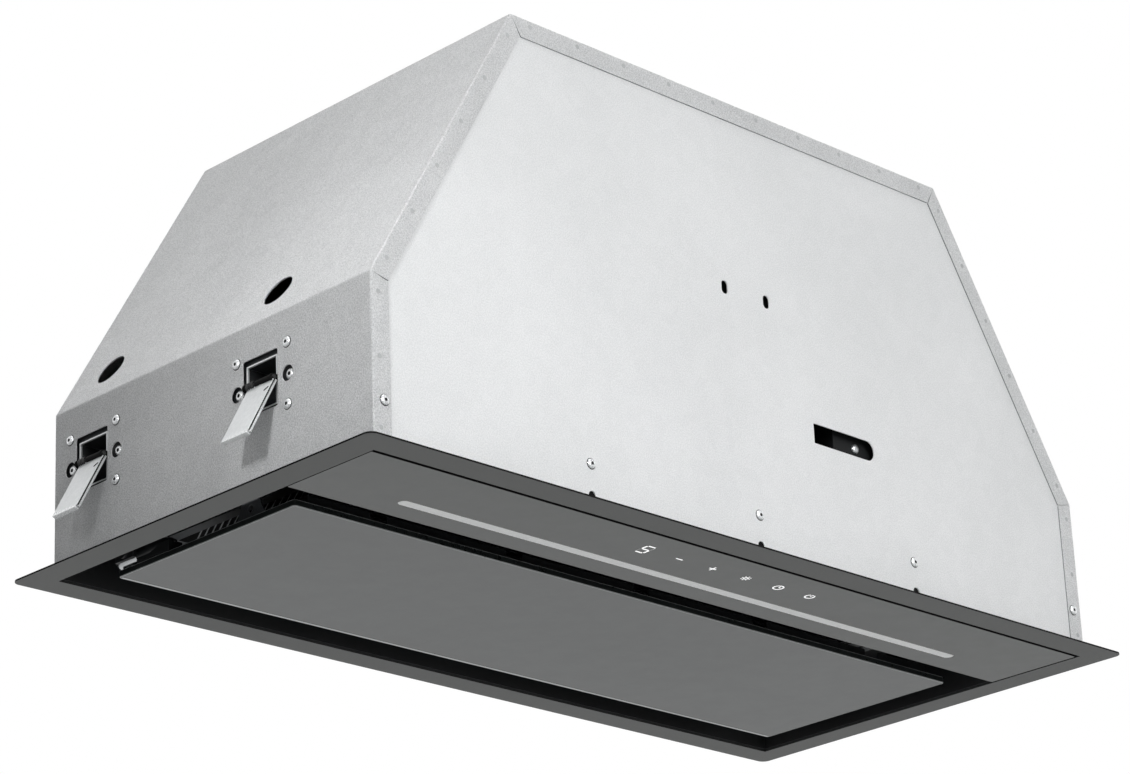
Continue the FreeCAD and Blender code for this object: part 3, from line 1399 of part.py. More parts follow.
def make_control_box():
    """Box for the mains board on the front plate, open towards the back."""
    left, right = "sizes.box_left", "sizes.box_left + sizes.box_width"
    front, back = "places.box_front", "places.box_front + sizes.box_depth"
    base, top = "sizes.box_base", "sizes.box_base + sizes.box_height"
    wall = "sizes.box_wall"
    shell = box((left, right), (front, back), (base, top))
    hollow = box((f"{left} + {wall}", f"{right} - {wall}"), (f"{front} + {wall}", f"{back} + sizes.past"),
                 (f"{base} + {wall}", f"{top} - {wall}"))
    feet = [cylinder("Y", "sizes.bracket_post_radius", "-places.collar_y", front, x,
                     f"{top} - sizes.box_foot_inset")
            for x in (f"{left} + sizes.box_foot_inset", f"{right} - sizes.box_foot_inset")]
    return keep(cut("control_box", fuse("control_box_blank", shell, *feet), hollow))


def make_run_capacitor():
    middle = "sizes.box_left + sizes.box_width / 2"
    return keep(cylinder("X", "sizes.capacitor_radius", f"{middle} - sizes.capacitor_length / 2",
                         f"{middle} + sizes.capacitor_length / 2",
                         "places.box_front + sizes.box_depth / 2",
                         "sizes.box_base + sizes.box_wall + sizes.capacitor_radius"), "run_capacitor")


def make_cable_gland():
    """Gland through the back plate with an open bore for a lead."""
    spot = ("sizes.gland_x", "sizes.gland_z")
    inner, outer = "places.plate_face - sizes.gland_inside", "places.plate_face + sizes.gland_flange"
    barrel = cylinder("Y", "sizes.gland_radius", inner, "places.plate_face", *spot)
    head = cylinder("Y", "sizes.gland_flange_radius", "places.plate_face", outer, *spot)
    bore = cylinder("Y", "sizes.gland_bore_radius", f"{inner} - sizes.past", f"{outer} + sizes.past", *spot)
    return keep(cut("cable_gland", fuse("gland_blank", barrel, head), bore))


make_control_box()
make_run_capacitor()
make_cable_gland()

# ------------------------------------------------------------------ export

doc.recompute()
failed = [item.Label for item in doc.Objects if {"Invalid", "Error"} & set(item.State)]
if failed:
    raise RuntimeError(f"features not built: {failed}")
for piece in nodes:
    if piece.Shape.isNull() or not piece.Shape.isValid() or not piece.Shape.Solids:
        raise RuntimeError(f"{piece.Label} has no valid solid")
os.makedirs("parts", exist_ok=True)
for piece in nodes:
    piece.Shape.exportStep(f"parts/{piece.Label}.step")
    print(f"{piece.Label}: {len(piece.Shape.Solids)} solids, {piece.Shape.Volume / 1000:.2f} cm3")
print(f"{len(nodes)} nodes")
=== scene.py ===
import json
import math

import bmesh
import bpy
from mathutils import Matrix, Vector

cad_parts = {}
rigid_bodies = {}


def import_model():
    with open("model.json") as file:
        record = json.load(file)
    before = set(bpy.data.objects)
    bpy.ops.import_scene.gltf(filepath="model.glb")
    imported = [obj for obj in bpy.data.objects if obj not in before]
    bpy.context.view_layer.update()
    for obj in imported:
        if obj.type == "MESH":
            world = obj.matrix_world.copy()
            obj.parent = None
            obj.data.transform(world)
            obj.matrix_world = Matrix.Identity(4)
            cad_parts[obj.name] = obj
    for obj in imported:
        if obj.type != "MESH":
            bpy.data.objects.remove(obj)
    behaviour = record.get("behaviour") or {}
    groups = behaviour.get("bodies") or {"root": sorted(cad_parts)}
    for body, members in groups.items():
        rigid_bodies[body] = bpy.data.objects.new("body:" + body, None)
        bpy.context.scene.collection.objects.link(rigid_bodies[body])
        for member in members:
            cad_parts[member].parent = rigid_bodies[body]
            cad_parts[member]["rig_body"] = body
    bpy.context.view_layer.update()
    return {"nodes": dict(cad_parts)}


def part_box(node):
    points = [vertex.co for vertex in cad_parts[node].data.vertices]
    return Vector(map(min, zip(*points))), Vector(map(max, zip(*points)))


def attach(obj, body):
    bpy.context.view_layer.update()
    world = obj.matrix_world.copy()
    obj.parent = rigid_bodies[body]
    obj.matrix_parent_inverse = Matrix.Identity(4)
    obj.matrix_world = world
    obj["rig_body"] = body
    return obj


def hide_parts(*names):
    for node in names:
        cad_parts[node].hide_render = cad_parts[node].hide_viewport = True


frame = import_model()

# ---- sizes
# metres, in the frame of the solids

MM = 0.001
MERGE = 0.001 * MM
TOLERANCE = 0.1 * MM
FRONT_BAND = 0.5 * MM
HALF_WIDTH = 282.5 * MM
HALF_DEPTH = 129.5 * MM
CASING_BASE = 1.0 * MM
KNEE_HEIGHT = 95.5 * MM
HALF_TOP = 176.5 * MM
ROOF_HEIGHT = 275.0 * MM
SHEET = 0.7 * MM
SEAM_WIDTH = 12.0 * MM
MITRE_GAP = 0.45 * MM
BEND_RADIUS = 1.1 * MM
LEAST_BEND = math.radians(10)

CLIP_ROWS = (-45.0 * MM, 95.5 * MM)
CLIP_HEIGHT = 60.0 * MM
WINDOW_SIZE = (27.6 * MM, 31.6 * MM)
WINDOW_SHIFT = 1.3 * MM
WINDOW_RISE = 0.6 * MM
WINDOW_CORNER = 1.5 * MM
CLIP_HOLE_OFFSET = 20.0 * MM
CLIP_RIVET_RISE = 17.0 * MM
CLIP_SCREW_HOLE = 4.4 * MM
CLIP_SCREW_SINK = 2.6 * MM
RIVET_HOLE = 2.0 * MM
SLOPE_HOLE = 10.0 * MM
SLOPE_HOLE_ALONG = 23.0 * MM
SEAM_RIVET = (275.0 * MM, 27.0 * MM)
SPIGOT_CENTRE = (0.0, 36.0 * MM)
SPIGOT_BORE = 72.5 * MM
SPIGOT_SCREW_CIRCLE = 82.0 * MM
SCREW_HOLE = 1.7 * MM
CUTTER_DEPTH = 6.0 * MM

WELD_OUTLINE = [(0, 0.03), (0.5, 0.03), (0.75, 0.08), (1.05, 0.08), (1.4, 0.01), (1.4, -0.1), (0, -0.1)]
WELD_INSET = 5.0 * MM
TOP_WELDS = 10
SLOPE_WELDS = 6
TOP_WELD_PITCH = 36.0 * MM
TOP_WELD_HEIGHT = 271.0 * MM
SLOPE_WELD_START = 13.9 * MM
SLOPE_WELD_PITCH = 36.1 * MM
WALL_WELD_HEIGHTS = (85.0 * MM, 50.0 * MM, 12.0 * MM)

GLASS_FACE = 0.2 * MM
MARK_DEPTH = 0.05 * MM
MARK_ROW = -103.8 * MM
MARK_LINE = 0.9 * MM


# ---- materials

def srgb(code):
    """Colour with alpha from a six-digit screen colour."""
    parts = ((code >> 16) & 255, (code >> 8) & 255, code & 255)
    shares = [part / 255 for part in parts]
    linear = [share / 12.92 if share <= 0.04045 else ((share + 0.055) / 1.055) ** 2.4
              for share in shares]
    return (*linear, 1.0)


def new_group(name, inputs, outputs):
    """Empty shader node group with named sockets; returns the group, its inlet and its outlet."""
    made = bpy.data.node_groups.new(name, "ShaderNodeTree")
    for label, kind, start in inputs:
        socket = made.interface.new_socket(label, in_out="INPUT", socket_type="NodeSocket" + kind)
        socket.default_value = start
    for label, kind in outputs:
        made.interface.new_socket(label, in_out="OUTPUT", socket_type="NodeSocket" + kind)
    return made, made.nodes.new("NodeGroupInput"), made.nodes.new("NodeGroupOutput")


def add_node(tree, kind, settings=(), **sockets):
    """Shader node with its settings and sockets; a socket takes a value or another node's output."""
    node = tree.nodes.new("ShaderNode" + kind)
    for key, what in dict(settings).items():
        setattr(node, key, what)
    for label, what in sockets.items():
        socket = node.inputs[int(label[1:]) if label[1:].isdigit() else label.replace("_", " ")]
        if isinstance(what, bpy.types.NodeSocket):
            tree.links.new(what, socket)
        else:
            socket.default_value = what
    return node


def math_node(tree, operation, first, second=0.0):
    return add_node(tree, "Math", {"operation": operation}, _0=first, _1=second).outputs[0]


def make_grain_group():
    """Grain of a surface: a tone that varies and a fine height, on stretched coordinates."""
    tree, inlet, outlet = new_group(
        "surface_grain",
        [("Scale", "Float", 600.0), ("Stretch", "Vector", (1.0, 1.0, 1.0)),
         ("Fineness", "Float", 4.0)],
        [("Tone", "Float"), ("Height", "Float")])
    place = add_node(tree, "TexCoord")
    spread = add_node(tree, "VectorMath", {"operation": "MULTIPLY"},
                      _0=place.outputs["Object"], _1=inlet.outputs["Stretch"])
    coarse = add_node(tree, "TexNoise", Vector=spread.outputs[0], Scale=inlet.outputs["Scale"],
                      Detail=5.0, Roughness=0.65)
    fine = add_node(tree, "TexNoise", Vector=spread.outputs[0],
                    Scale=math_node(tree, "MULTIPLY", inlet.outputs["Scale"], inlet.outputs["Fineness"]),
                    Detail=2.0, Roughness=0.5)
    tone = add_node(tree, "MapRange", Value=coarse.outputs[0], From_Min=0.38, From_Max=0.62)
    tree.links.new(tone.outputs[0], outlet.inputs["Tone"])
    tree.links.new(math_node(tree, "ADD", coarse.outputs[0], fine.outputs[0]), outlet.inputs["Height"])
    return tree


def make_blotch_group():
    """Slow unevenness over a hand's width, with a faint smear through it."""
    tree, inlet, outlet = new_group("slow_blotch", [("Scale", "Float", 9.0)],
                                    [("Mask", "Float")])
    place = add_node(tree, "TexCoord")
    cloud = add_node(tree, "TexNoise", Vector=place.outputs["Object"],
                     Scale=inlet.outputs["Scale"], Detail=3.0, Roughness=0.55, Distortion=0.6)
    mask = add_node(tree, "MapRange", Value=cloud.outputs[0], From_Min=0.3, From_Max=0.7)
    tree.links.new(mask.outputs[0], outlet.inputs["Mask"])
    return tree


def make_spangle_group():
    """Zinc flowers: cells with slightly different tones."""
    tree, inlet, outlet = new_group("zinc_spangle", [("Scale", "Float", 160.0)],
                                    [("Tone", "Float")])
    place = add_node(tree, "TexCoord")
    bend = add_node(tree, "TexNoise", Vector=place.outputs["Object"], Scale=70.0, Detail=2.0)
    shifted = add_node(tree, "VectorMath", {"operation": "MULTIPLY_ADD"},
                       _0=bend.outputs["Color"], _1=(0.006, 0.006, 0.006), _2=place.outputs["Object"])
    cells = add_node(tree, "TexVoronoi", Vector=shifted.outputs[0], Scale=inlet.outputs["Scale"])
    grey = add_node(tree, "SeparateColor", Color=cells.outputs["Color"])
    tree.links.new(grey.outputs[0], outlet.inputs["Tone"])
    return tree


def make_wear_and_highlight_group():
    """Mask of the outer edges, broken up as handling rubs them: partly wear, partly a painted highlight."""
    tree, inlet, outlet = new_group("edge_wear_and_highlight", [("Reach", "Float", 0.0006)],
                                    [("Mask", "Float")])
    round_off = add_node(tree, "Bevel", {"samples": 4}, Radius=inlet.outputs["Reach"])
    real = add_node(tree, "NewGeometry")
    along = add_node(tree, "VectorMath", {"operation": "DOT_PRODUCT"},
                     _0=round_off.outputs[0], _1=real.outputs["Normal"])
    turn = math_node(tree, "SUBTRACT", 1.0, along.outputs["Value"])
    place = add_node(tree, "TexCoord")
    broken = add_node(tree, "TexNoise", Vector=place.outputs["Object"], Scale=240.0, Detail=4.0)
    edge = add_node(tree, "MapRange", Value=turn, From_Min=0.01, From_Max=0.16)
    tree.links.new(math_node(tree, "MULTIPLY", edge.outputs[0], broken.outputs[0]), outlet.inputs["Mask"])
    return tree


GRAIN = make_grain_group()
BLOTCH = make_blotch_group()
SPANGLE = make_spangle_group()
EDGE_WEAR_AND_HIGHLIGHT = make_wear_and_highlight_group()


def place_group(tree, group, **values):
    node = tree.nodes.new("ShaderNodeGroup")
    node.node_tree = group
    for label, what in values.items():
        node.inputs[label].default_value = what
    return node


def blend_colours(tree, share, first, second):
    node = add_node(tree, "Mix", {"data_type": "RGBA"})
    for index, what in ((0, share), (6, first), (7, second)):
        if isinstance(what, bpy.types.NodeSocket):
            tree.links.new(what, node.inputs[index])
        else:
            node.inputs[index].default_value = what
    return node.outputs[2]


FINISHES = {}


def make_finish(name, dark, light, roughness, grain, bump, metallic=0.0, stretch=(1.0, 1.0, 1.0),
                spangle=0.0, rubbed_and_highlight=None, reach=0.0006, blotch=0.45, specular=0.5, shader=None):
    """Procedural finish: grain between two tones, slow blotches, lightened edges that are partly wear and
    partly a painted highlight, and a fine bump.
    """
    made = bpy.data.materials.new(name)
    made.use_nodes = True
    tree = made.node_tree
    surface = tree.nodes["Principled BSDF"]
    texture = place_group(tree, GRAIN, Scale=grain, Stretch=stretch)
    cloud = place_group(tree, BLOTCH)
    tone = math_node(tree, "ADD", math_node(tree, "MULTIPLY", texture.outputs["Tone"], 1.0 - blotch),
                     math_node(tree, "MULTIPLY", cloud.outputs["Mask"], blotch))
    if spangle:
        flowers = place_group(tree, SPANGLE)
        part = math_node(tree, "MULTIPLY", flowers.outputs["Tone"], spangle)
        tone = math_node(tree, "ADD", math_node(tree, "MULTIPLY", tone, 1.0 - spangle), part)
    colour = blend_colours(tree, tone, srgb(dark), srgb(light))
    # lighter edges: partly wear, partly a painted highlight along the edges
    if rubbed_and_highlight:
        worn_and_lit = place_group(tree, EDGE_WEAR_AND_HIGHLIGHT, Reach=reach)
        colour = blend_colours(tree, worn_and_lit.outputs["Mask"], colour, srgb(rubbed_and_highlight))
    tree.links.new(colour, surface.inputs["Base Color"])
    rough = add_node(tree, "MapRange", Value=tone, To_Min=roughness[0], To_Max=roughness[1])
    tree.links.new(rough.outputs[0], surface.inputs["Roughness"])
    relief = add_node(tree, "Bump", Strength=bump, Distance=0.001,
                      Height=texture.outputs["Height"])
    tree.links.new(relief.outputs[0], surface.inputs["Normal"])
    surface.inputs["Metallic"].default_value = metallic
    surface.inputs["Specular IOR Level"].default_value = specular
    for label, what in (shader or {}).items():
        surface.inputs[label].default_value = what
    FINISHES[name] = made


# name, darker and lighter tone, range of roughness, scale of the grain, strength of the bump
make_finish("galvanised_sheet", 0xB4B6B7, 0xEEEFF0, (0.45, 0.6), 1250.0, 0.6, metallic=0.1, spangle=0.1,
            rubbed_and_highlight=0xF0F1F2, blotch=0.2, specular=0.2)
make_finish("galvanised_plate", 0xCED0D1, 0xEAEBEC, (0.45, 0.6), 1250.0, 0.25, metallic=0.1, spangle=0.1,
            rubbed_and_highlight=0xF0F1F2, blotch=0.25, specular=0.2)
make_finish("cut_edge", 0x7E8081, 0x929495, (0.5, 0.65), 1250.0, 0.1, metallic=0.1)
make_finish("weld_mark", 0xA6A8A9, 0xB8BABB, (0.4, 0.55), 900.0, 0.1, metallic=0.3)
make_finish("grey_paint", 0x5D5F5E, 0x656766, (0.42, 0.52), 1400.0, 0.05, rubbed_and_highlight=0x6E706F, specular=0.25)
# painted shade: a near-black finish for gap walls, arrises, slot bottoms and tucked-in parts that lie in
# shade
make_finish("painted_shade_black", 0x060606, 0x0D0D0D, (0.65, 0.8), 900.0, 0.04, specular=0.1)
make_finish("rivet_steel", 0xC9CBCC, 0xE2E4E5, (0.22, 0.34), 900.0, 0.03, metallic=0.75, rubbed_and_highlight=0xF4F5F5)
make_finish("black_pan", 0x141516, 0x1E2021, (0.4, 0.55), 1100.0, 0.05, rubbed_and_highlight=0x3A3C3D)
make_finish("grey_glass", 0x5F6261, 0x636665, (0.16, 0.22), 60.0, 0.0, specular=0.25)
make_finish("panel_grey_glass", 0x6B6E6E, 0x6F7272, (0.16, 0.22), 60.0, 0.0, specular=0.25)
# painted highlight: a pale finish on the rounded arris of the panel glass
make_finish("glass_arris_painted_highlight", 0xA0A4A4, 0xB2B6B6, (0.2, 0.3), 300.0, 0.01)
# painted highlight: near-white finish for the strip along the panel's back edge
make_finish("painted_highlight_line", 0xD8DCDC, 0xE8ECEC, (0.15, 0.25), 300.0, 0.01)
# painted shade: a dark finish for holes, recesses and parts deep inside the clip boxes
make_finish("painted_recess_shade", 0x0E0F0F, 0x191A1B, (0.5, 0.65), 1200.0, 0.04)
# painted shade: dark walls of the flange collar that face into its opening
make_finish("painted_collar_shade", 0x202223, 0x2A2C2D, (0.5, 0.6), 1400.0, 0.05)
make_finish("glass_edge", 0x1C2020, 0x262B2A, (0.25, 0.35), 300.0, 0.01)
# painted glow: the diffuser gives off a faint light of its own
make_finish("diffuser", 0xF0F3F2, 0xF8FAFA, (0.3, 0.42), 500.0, 0.01,
            shader={"Subsurface Weight": 0.3, "Subsurface Radius": (0.003, 0.003, 0.003),
                    "Emission Color": (1.0, 1.0, 1.0, 1.0), "Emission Strength": 0.04})
# painted glow on the printed marks; on the digit's lit bars it is the display's own light
make_finish("printed_mark_painted_glow", 0xE8E9E9, 0xF4F5F5, (0.4, 0.5), 900.0, 0.01,
            shader={"Emission Color": (1.0, 1.0, 1.0, 1.0), "Emission Strength": 0.8})
make_finish("unlit_mark", 0xA8ABAA, 0xB2B5B4, (0.4, 0.5), 900.0, 0.01)
make_finish("grille_bar", 0xA4A7A9, 0xBEC1C3, (0.3, 0.45), 900.0, 0.02, metallic=0.5)
make_finish("circuit_board", 0x0F3A22, 0x184A2E, (0.3, 0.45), 700.0, 0.03)
make_finish("black_plastic", 0x18191A, 0x222324, (0.42, 0.58), 1600.0, 0.06, rubbed_and_highlight=0x3C3D3E)
make_finish("display", 0x2A2C2C, 0x333535, (0.2, 0.3), 700.0, 0.01)
make_finish("black_sheet", 0x17191A, 0x222425, (0.35, 0.5), 1200.0, 0.05, rubbed_and_highlight=0x46494A)
make_finish("polished_steel", 0xB8BBBD, 0xDADCDD, (0.12, 0.22), 500.0, 0.01, metallic=0.95,
            stretch=(1.0, 0.1, 1.0), rubbed_and_highlight=0xF2F3F3)
make_finish("bracket_steel", 0x54575A, 0x696C6F, (0.32, 0.46), 700.0, 0.03, metallic=0.7, rubbed_and_highlight=0xA2A5A8)
make_finish("filter_aluminium", 0x6E7173, 0x86898B, (0.34, 0.5), 700.0, 0.03, metallic=0.75,
            stretch=(0.2, 1.0, 1.0), rubbed_and_highlight=0xC8CACB)
make_finish("clip_zinc", 0x2C2E2F, 0x3C3E40, (0.4, 0.55), 800.0, 0.04, metallic=0.5, rubbed_and_highlight=0xA0A3A5)
make_finish("tab_zinc", 0xC4C7C8, 0xDCDEDF, (0.3, 0.45), 500.0, 0.03, metallic=0.45, spangle=0.2,
            rubbed_and_highlight=0xF4F5F5, reach=0.0007)
make_finish("spring_steel", 0x606468, 0x7E8286, (0.22, 0.35), 900.0, 0.02, metallic=0.9)
make_finish("screw_steel", 0x9EA1A3, 0xC2C4C6, (0.22, 0.36), 900.0, 0.03, metallic=0.8, rubbed_and_highlight=0xE8E9EA)
make_finish("blower_plastic", 0x1C1D1E, 0x262728, (0.45, 0.6), 1300.0, 0.06)
make_finish("impeller_plastic", 0x2B3136, 0x363D43, (0.4, 0.55), 1300.0, 0.05)
make_finish("core_steel", 0x63666A, 0x7B7E82, (0.35, 0.5), 1800.0, 0.08, metallic=0.85,
            stretch=(1.0, 0.05, 0.05))
make_finish("motor_steel", 0x9B9EA0, 0xB7BABC, (0.3, 0.45), 600.0, 0.03, metallic=0.75, rubbed_and_highlight=0xD8DADB)
make_finish("bearing_bronze", 0x8A6A36, 0xA8854A, (0.3, 0.42), 900.0, 0.04, metallic=0.85)
make_finish("spigot_plastic", 0x1D1E1F, 0x292A2B, (0.4, 0.56), 1500.0, 0.06, rubbed_and_highlight=0x47494A)
make_finish("flap_plastic", 0x303234, 0x3C3E40, (0.42, 0.56), 1400.0, 0.05)
make_finish("box_plastic", 0x101112, 0x181A1B, (0.5, 0.65), 1400.0, 0.05, specular=0.15)
make_finish("capacitor_case", 0xA9ACAD, 0xC3C6C7, (0.28, 0.4), 700.0, 0.02, metallic=0.7)

CLIP_KEYS = [f"{end}_{side}" for end in ("front", "back") for side in ("left", "right")]

NODE_FINISH = {
    "galvanised_sheet": ["casing_wrap"],
    "galvanised_plate": ["front_plate", "back_plate"],
    "grey_paint": ["flange_frame"],
    "rivet_steel": ["casing_rivets", "clip_rivets"],
    "black_pan": ["air_pan", "control_tray"],
    "grey_glass": ["control_glass"],
    "panel_grey_glass": ["panel_glass"],
    "diffuser": ["light_diffuser"],
    "circuit_board": ["light_board", "touch_board"],
    "display": ["digit_display"],
    "black_sheet": ["panel_tray", "filter_keepers"],
    "polished_steel": ["panel_hinge_arms", "hinge_pins", "flap_pin"],
    "bracket_steel": ["hinge_brackets", "panel_strikes"],
    "black_plastic": ["catch_blocks", "filter_latch_left", "filter_latch_right", "cable_gland"],
    "filter_aluminium": ["filter_frame_left", "filter_frame_right", "filter_mesh_left",
                         "filter_mesh_right"],
    "clip_zinc": [f"clip_cage_{key}" for key in CLIP_KEYS],
    "tab_zinc": [f"clip_tab_{key}" for key in CLIP_KEYS],
    "spring_steel": [f"clip_spring_{key}" for key in CLIP_KEYS],
    "screw_steel": ["clip_screws", "clip_pins", "blower_screws", "spigot_screws", "rotor_shaft"],
    "blower_plastic": ["scroll_left", "scroll_right"],
    "impeller_plastic": ["impeller"],
    "core_steel": ["rotor_core", "motor_stator"],
    "motor_steel": ["motor_housing", "motor_bracket"],
    "bearing_bronze": ["motor_bearings"],
    "spigot_plastic": ["duct_spigot"],
    "flap_plastic": ["flap_left", "flap_right"],
    "box_plastic": ["control_box"],
    "capacitor_case": ["run_capacitor"],
}


def dress(item, *finishes):
    """Put finishes in an object's material slots, adding slots where it has too few."""
    for index, finish in enumerate(finishes):
        if index < len(item.data.materials):
            item.data.materials[index] = FINISHES[finish]
        else:
            item.data.materials.append(FINISHES[finish])


for finish, names in NODE_FINISH.items():
    for name in names:
        dress(frame["nodes"][name], finish)
left_bare = set(frame["nodes"]) - {name for names in NODE_FINISH.values() for name in names}
if left_bare:
    raise RuntimeError(f"nodes with no finish: {sorted(left_bare)}")


# ---- mesh helpers

# degrees above which an edge stays sharp
CREASE = 30
SOFT_CREASE = 35
TURNED_CREASE = 40


def new_object(name, data):
    """Object linked to the scene."""
    item = bpy.data.objects.new(name, data)
    bpy.context.scene.collection.objects.link(item)
    return item


def mesh_object(name, form):
    """Object of a bmesh, which is freed."""
    data = bpy.data.meshes.new(name)
    form.to_mesh(data)
    form.free()
    return new_object(name, data)


def add_piece(name, form, body, finishes, stands_for=(), crease=CREASE):
    """Object from a bmesh, riding on a body; edges sharper than the crease stay sharp."""
    item = mesh_object(name, form)
    item.data.polygons.foreach_set("use_smooth", [True] * len(item.data.polygons))
    item.data.set_sharp_from_angle(angle=math.radians(crease))
    dress(item, *finishes)
    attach(item, body)
    if stands_for:
        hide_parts(*stands_for)
    return item


def round_edges(item, width, segments=1):
    """Bevel modifier on a piece's sharp edges."""
    bevel = item.modifiers.new("rounded_edges", "BEVEL")
    bevel.width = width
    bevel.segments = segments
    bevel.limit_method = "ANGLE"
    return bevel


def copy_of(node):
    """Merged copy of a solid's mesh, its flat faces joined."""
    form = bmesh.new()
    form.from_mesh(frame["nodes"][node].data)
    bmesh.ops.remove_doubles(form, verts=form.verts, dist=2 * MERGE)
    bmesh.ops.dissolve_limit(form, angle_limit=math.radians(0.5), verts=form.verts, edges=form.edges)
    return form


def soften(node, width, finishes=None, segments=2, pick_second=None, arris=-1, draw_back=0.0):
    """Piece that stands for a node, its sharp edges rounded off and, where asked, its front drawn back."""
    form = copy_of(node)
    front = min(vert.co.y for vert in form.verts)
    for vert in form.verts:
        if draw_back and vert.co.y < front + FRONT_BAND:
            vert.co.y += draw_back
    if pick_second:
        for face in form.faces:
            face.material_index = int(pick_second(face))
    owner = next(finish for finish, names in NODE_FINISH.items() if node in names)
    item = add_piece(f"{node}_form", form, frame["nodes"][node]["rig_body"], finishes or (owner,),
                     stands_for=(node,), crease=SOFT_CREASE)
    bevel = round_edges(item, width, segments)
    bevel.angle_limit = math.radians(SOFT_CREASE)
    bevel.use_clamp_overlap = True
    bevel.material = arris
    bevel.harden_normals = True
    return item


def turned(outline, steps, pick_second=None):
    """Closed shape spun from points given as radius and height in millimetres."""
    form = bmesh.new()
    verts = [form.verts.new((radius * MM, 0, height * MM)) for radius, height in outline]
    edges = [form.edges.new(pair) for pair in zip(verts, verts[1:])]
    bmesh.ops.spin(form, geom=[*verts, *edges], cent=(0, 0, 0), axis=(0, 0, 1), angle=math.tau, steps=steps,
                   use_merge=True)
    bmesh.ops.remove_doubles(form, verts=form.verts, dist=MERGE)
    bmesh.ops.recalc_face_normals(form, faces=form.faces)
    for face in form.faces:
        face.material_index = int(bool(pick_second and pick_second(face)))
    return form


def facing(direction):
    return Vector(direction).to_track_quat("Z", "Y").to_matrix().to_4x4()


def standing(spot, direction):
    """Place of a turned form whose axis points in a direction."""
    return Matrix.Translation(spot) @ facing(direction)


def put(form, matrix):
    """The same form, moved by a matrix."""
    bmesh.ops.transform(form, matrix=matrix, verts=form.verts)
    return form


def verts_of(made):
    """The vertices among what an operator made."""
    return [item for item in made if isinstance(item, bmesh.types.BMVert)]


def block(centre, size):
    """Box of a size about a centre."""
    form = bmesh.new()
    bmesh.ops.create_cube(form, size=1.0)
    return put(form, Matrix.Translation(centre) @ Matrix.Diagonal((*size, 1.0)))


def paint(form, index):
    """The same form, its faces all in one material slot."""
    for face in form.faces:
        face.material_index = index
    return form


# ---- casing

SLOPE_ANGLE = math.atan2(HALF_WIDTH - HALF_TOP, ROOF_HEIGHT - KNEE_HEIGHT)
PROFILE = [(-HALF_WIDTH, CASING_BASE), (-HALF_WIDTH, KNEE_HEIGHT), (-HALF_TOP, ROOF_HEIGHT),
           (HALF_TOP, ROOF_HEIGHT), (HALF_WIDTH, KNEE_HEIGHT), (HALF_WIDTH, CASING_BASE)]


def turned_rod(radius, start, end, steps=40):
    """Cylinder of a cutter, from start to end."""
    form = bmesh.new()
    length = (end - start).length
    bmesh.ops.create_cone(form, cap_ends=True, segments=steps, radius1=radius, radius2=radius, depth=length)
    return put(form, standing((start + end) / 2, end - start))


def rounded_block(centre, size, corner):
    """Box whose edges along X are rounded, as a cutter."""
    form = block(centre, size)
    edges = [edge for edge in form.edges if abs((edge.verts[0].co - edge.verts[1].co).normalized().x) > 0.9]
    bmesh.ops.bevel(form, geom=edges, offset=corner, segments=5, profile=0.5, affect="EDGES", material=-1)
    return form


def join_forms(forms):
    """One bmesh out of several."""
    whole = bmesh.new()
    scratch = bpy.data.meshes.new("scratch")
    for form in forms:
        form.to_mesh(scratch)
        whole.from_mesh(scratch)
        form.free()
    bpy.data.meshes.remove(scratch)
    return whole


def casing_cutters():
    """Windows, holes and the duct opening of the wrap-around sheet."""
    forms = []
    for side in (-1, 1):
        wall = side * HALF_WIDTH
        for row in CLIP_ROWS:
            middle = Vector((wall, row - side * WINDOW_SHIFT, CLIP_HEIGHT + WINDOW_RISE))
            forms.append(rounded_block(middle, (2 * CUTTER_DEPTH, *WINDOW_SIZE), WINDOW_CORNER))
            for column in (-1, 1):
                across = row + column * CLIP_HOLE_OFFSET
                spots = [(CLIP_HEIGHT, CLIP_SCREW_HOLE), (CLIP_HEIGHT - CLIP_RIVET_RISE, RIVET_HOLE),
                         (CLIP_HEIGHT + CLIP_RIVET_RISE, RIVET_HOLE)]
                forms += [turned_rod(radius, Vector((wall - CUTTER_DEPTH, across, height)),
                                     Vector((wall + CUTTER_DEPTH, across, height)))
                          for height, radius in spots]
            along = Vector((-side * math.sin(SLOPE_ANGLE), 0, math.cos(SLOPE_ANGLE)))
            out = Vector((side * math.cos(SLOPE_ANGLE), 0, math.sin(SLOPE_ANGLE)))
            spot = Vector((wall, row, KNEE_HEIGHT)) + along * SLOPE_HOLE_ALONG
            forms.append(turned_rod(SLOPE_HOLE, spot - out * CUTTER_DEPTH, spot + out * CUTTER_DEPTH))
        for end in (-1, 1):
            seam = Vector((side * SEAM_RIVET[0], end * HALF_DEPTH, SEAM_RIVET[1]))
            reach = Vector((0, CUTTER_DEPTH / 2, 0))
            forms.append(turned_rod(RIVET_HOLE, seam - reach, seam + reach))
    rise = Vector((0, 0, CUTTER_DEPTH))
    spot = Vector((*SPIGOT_CENTRE, ROOF_HEIGHT))
    forms.append(turned_rod(SPIGOT_BORE, spot - rise, spot + rise, steps=96))
    for along_x in (-1, 1):
        for along_y in (-1, 1):
            hole = spot + Vector((along_x, along_y, 0)) * SPIGOT_SCREW_CIRCLE / math.sqrt(2)
            forms.append(turned_rod(SCREW_HOLE, hole - rise, hole + rise, steps=16))
    return join_forms(forms)


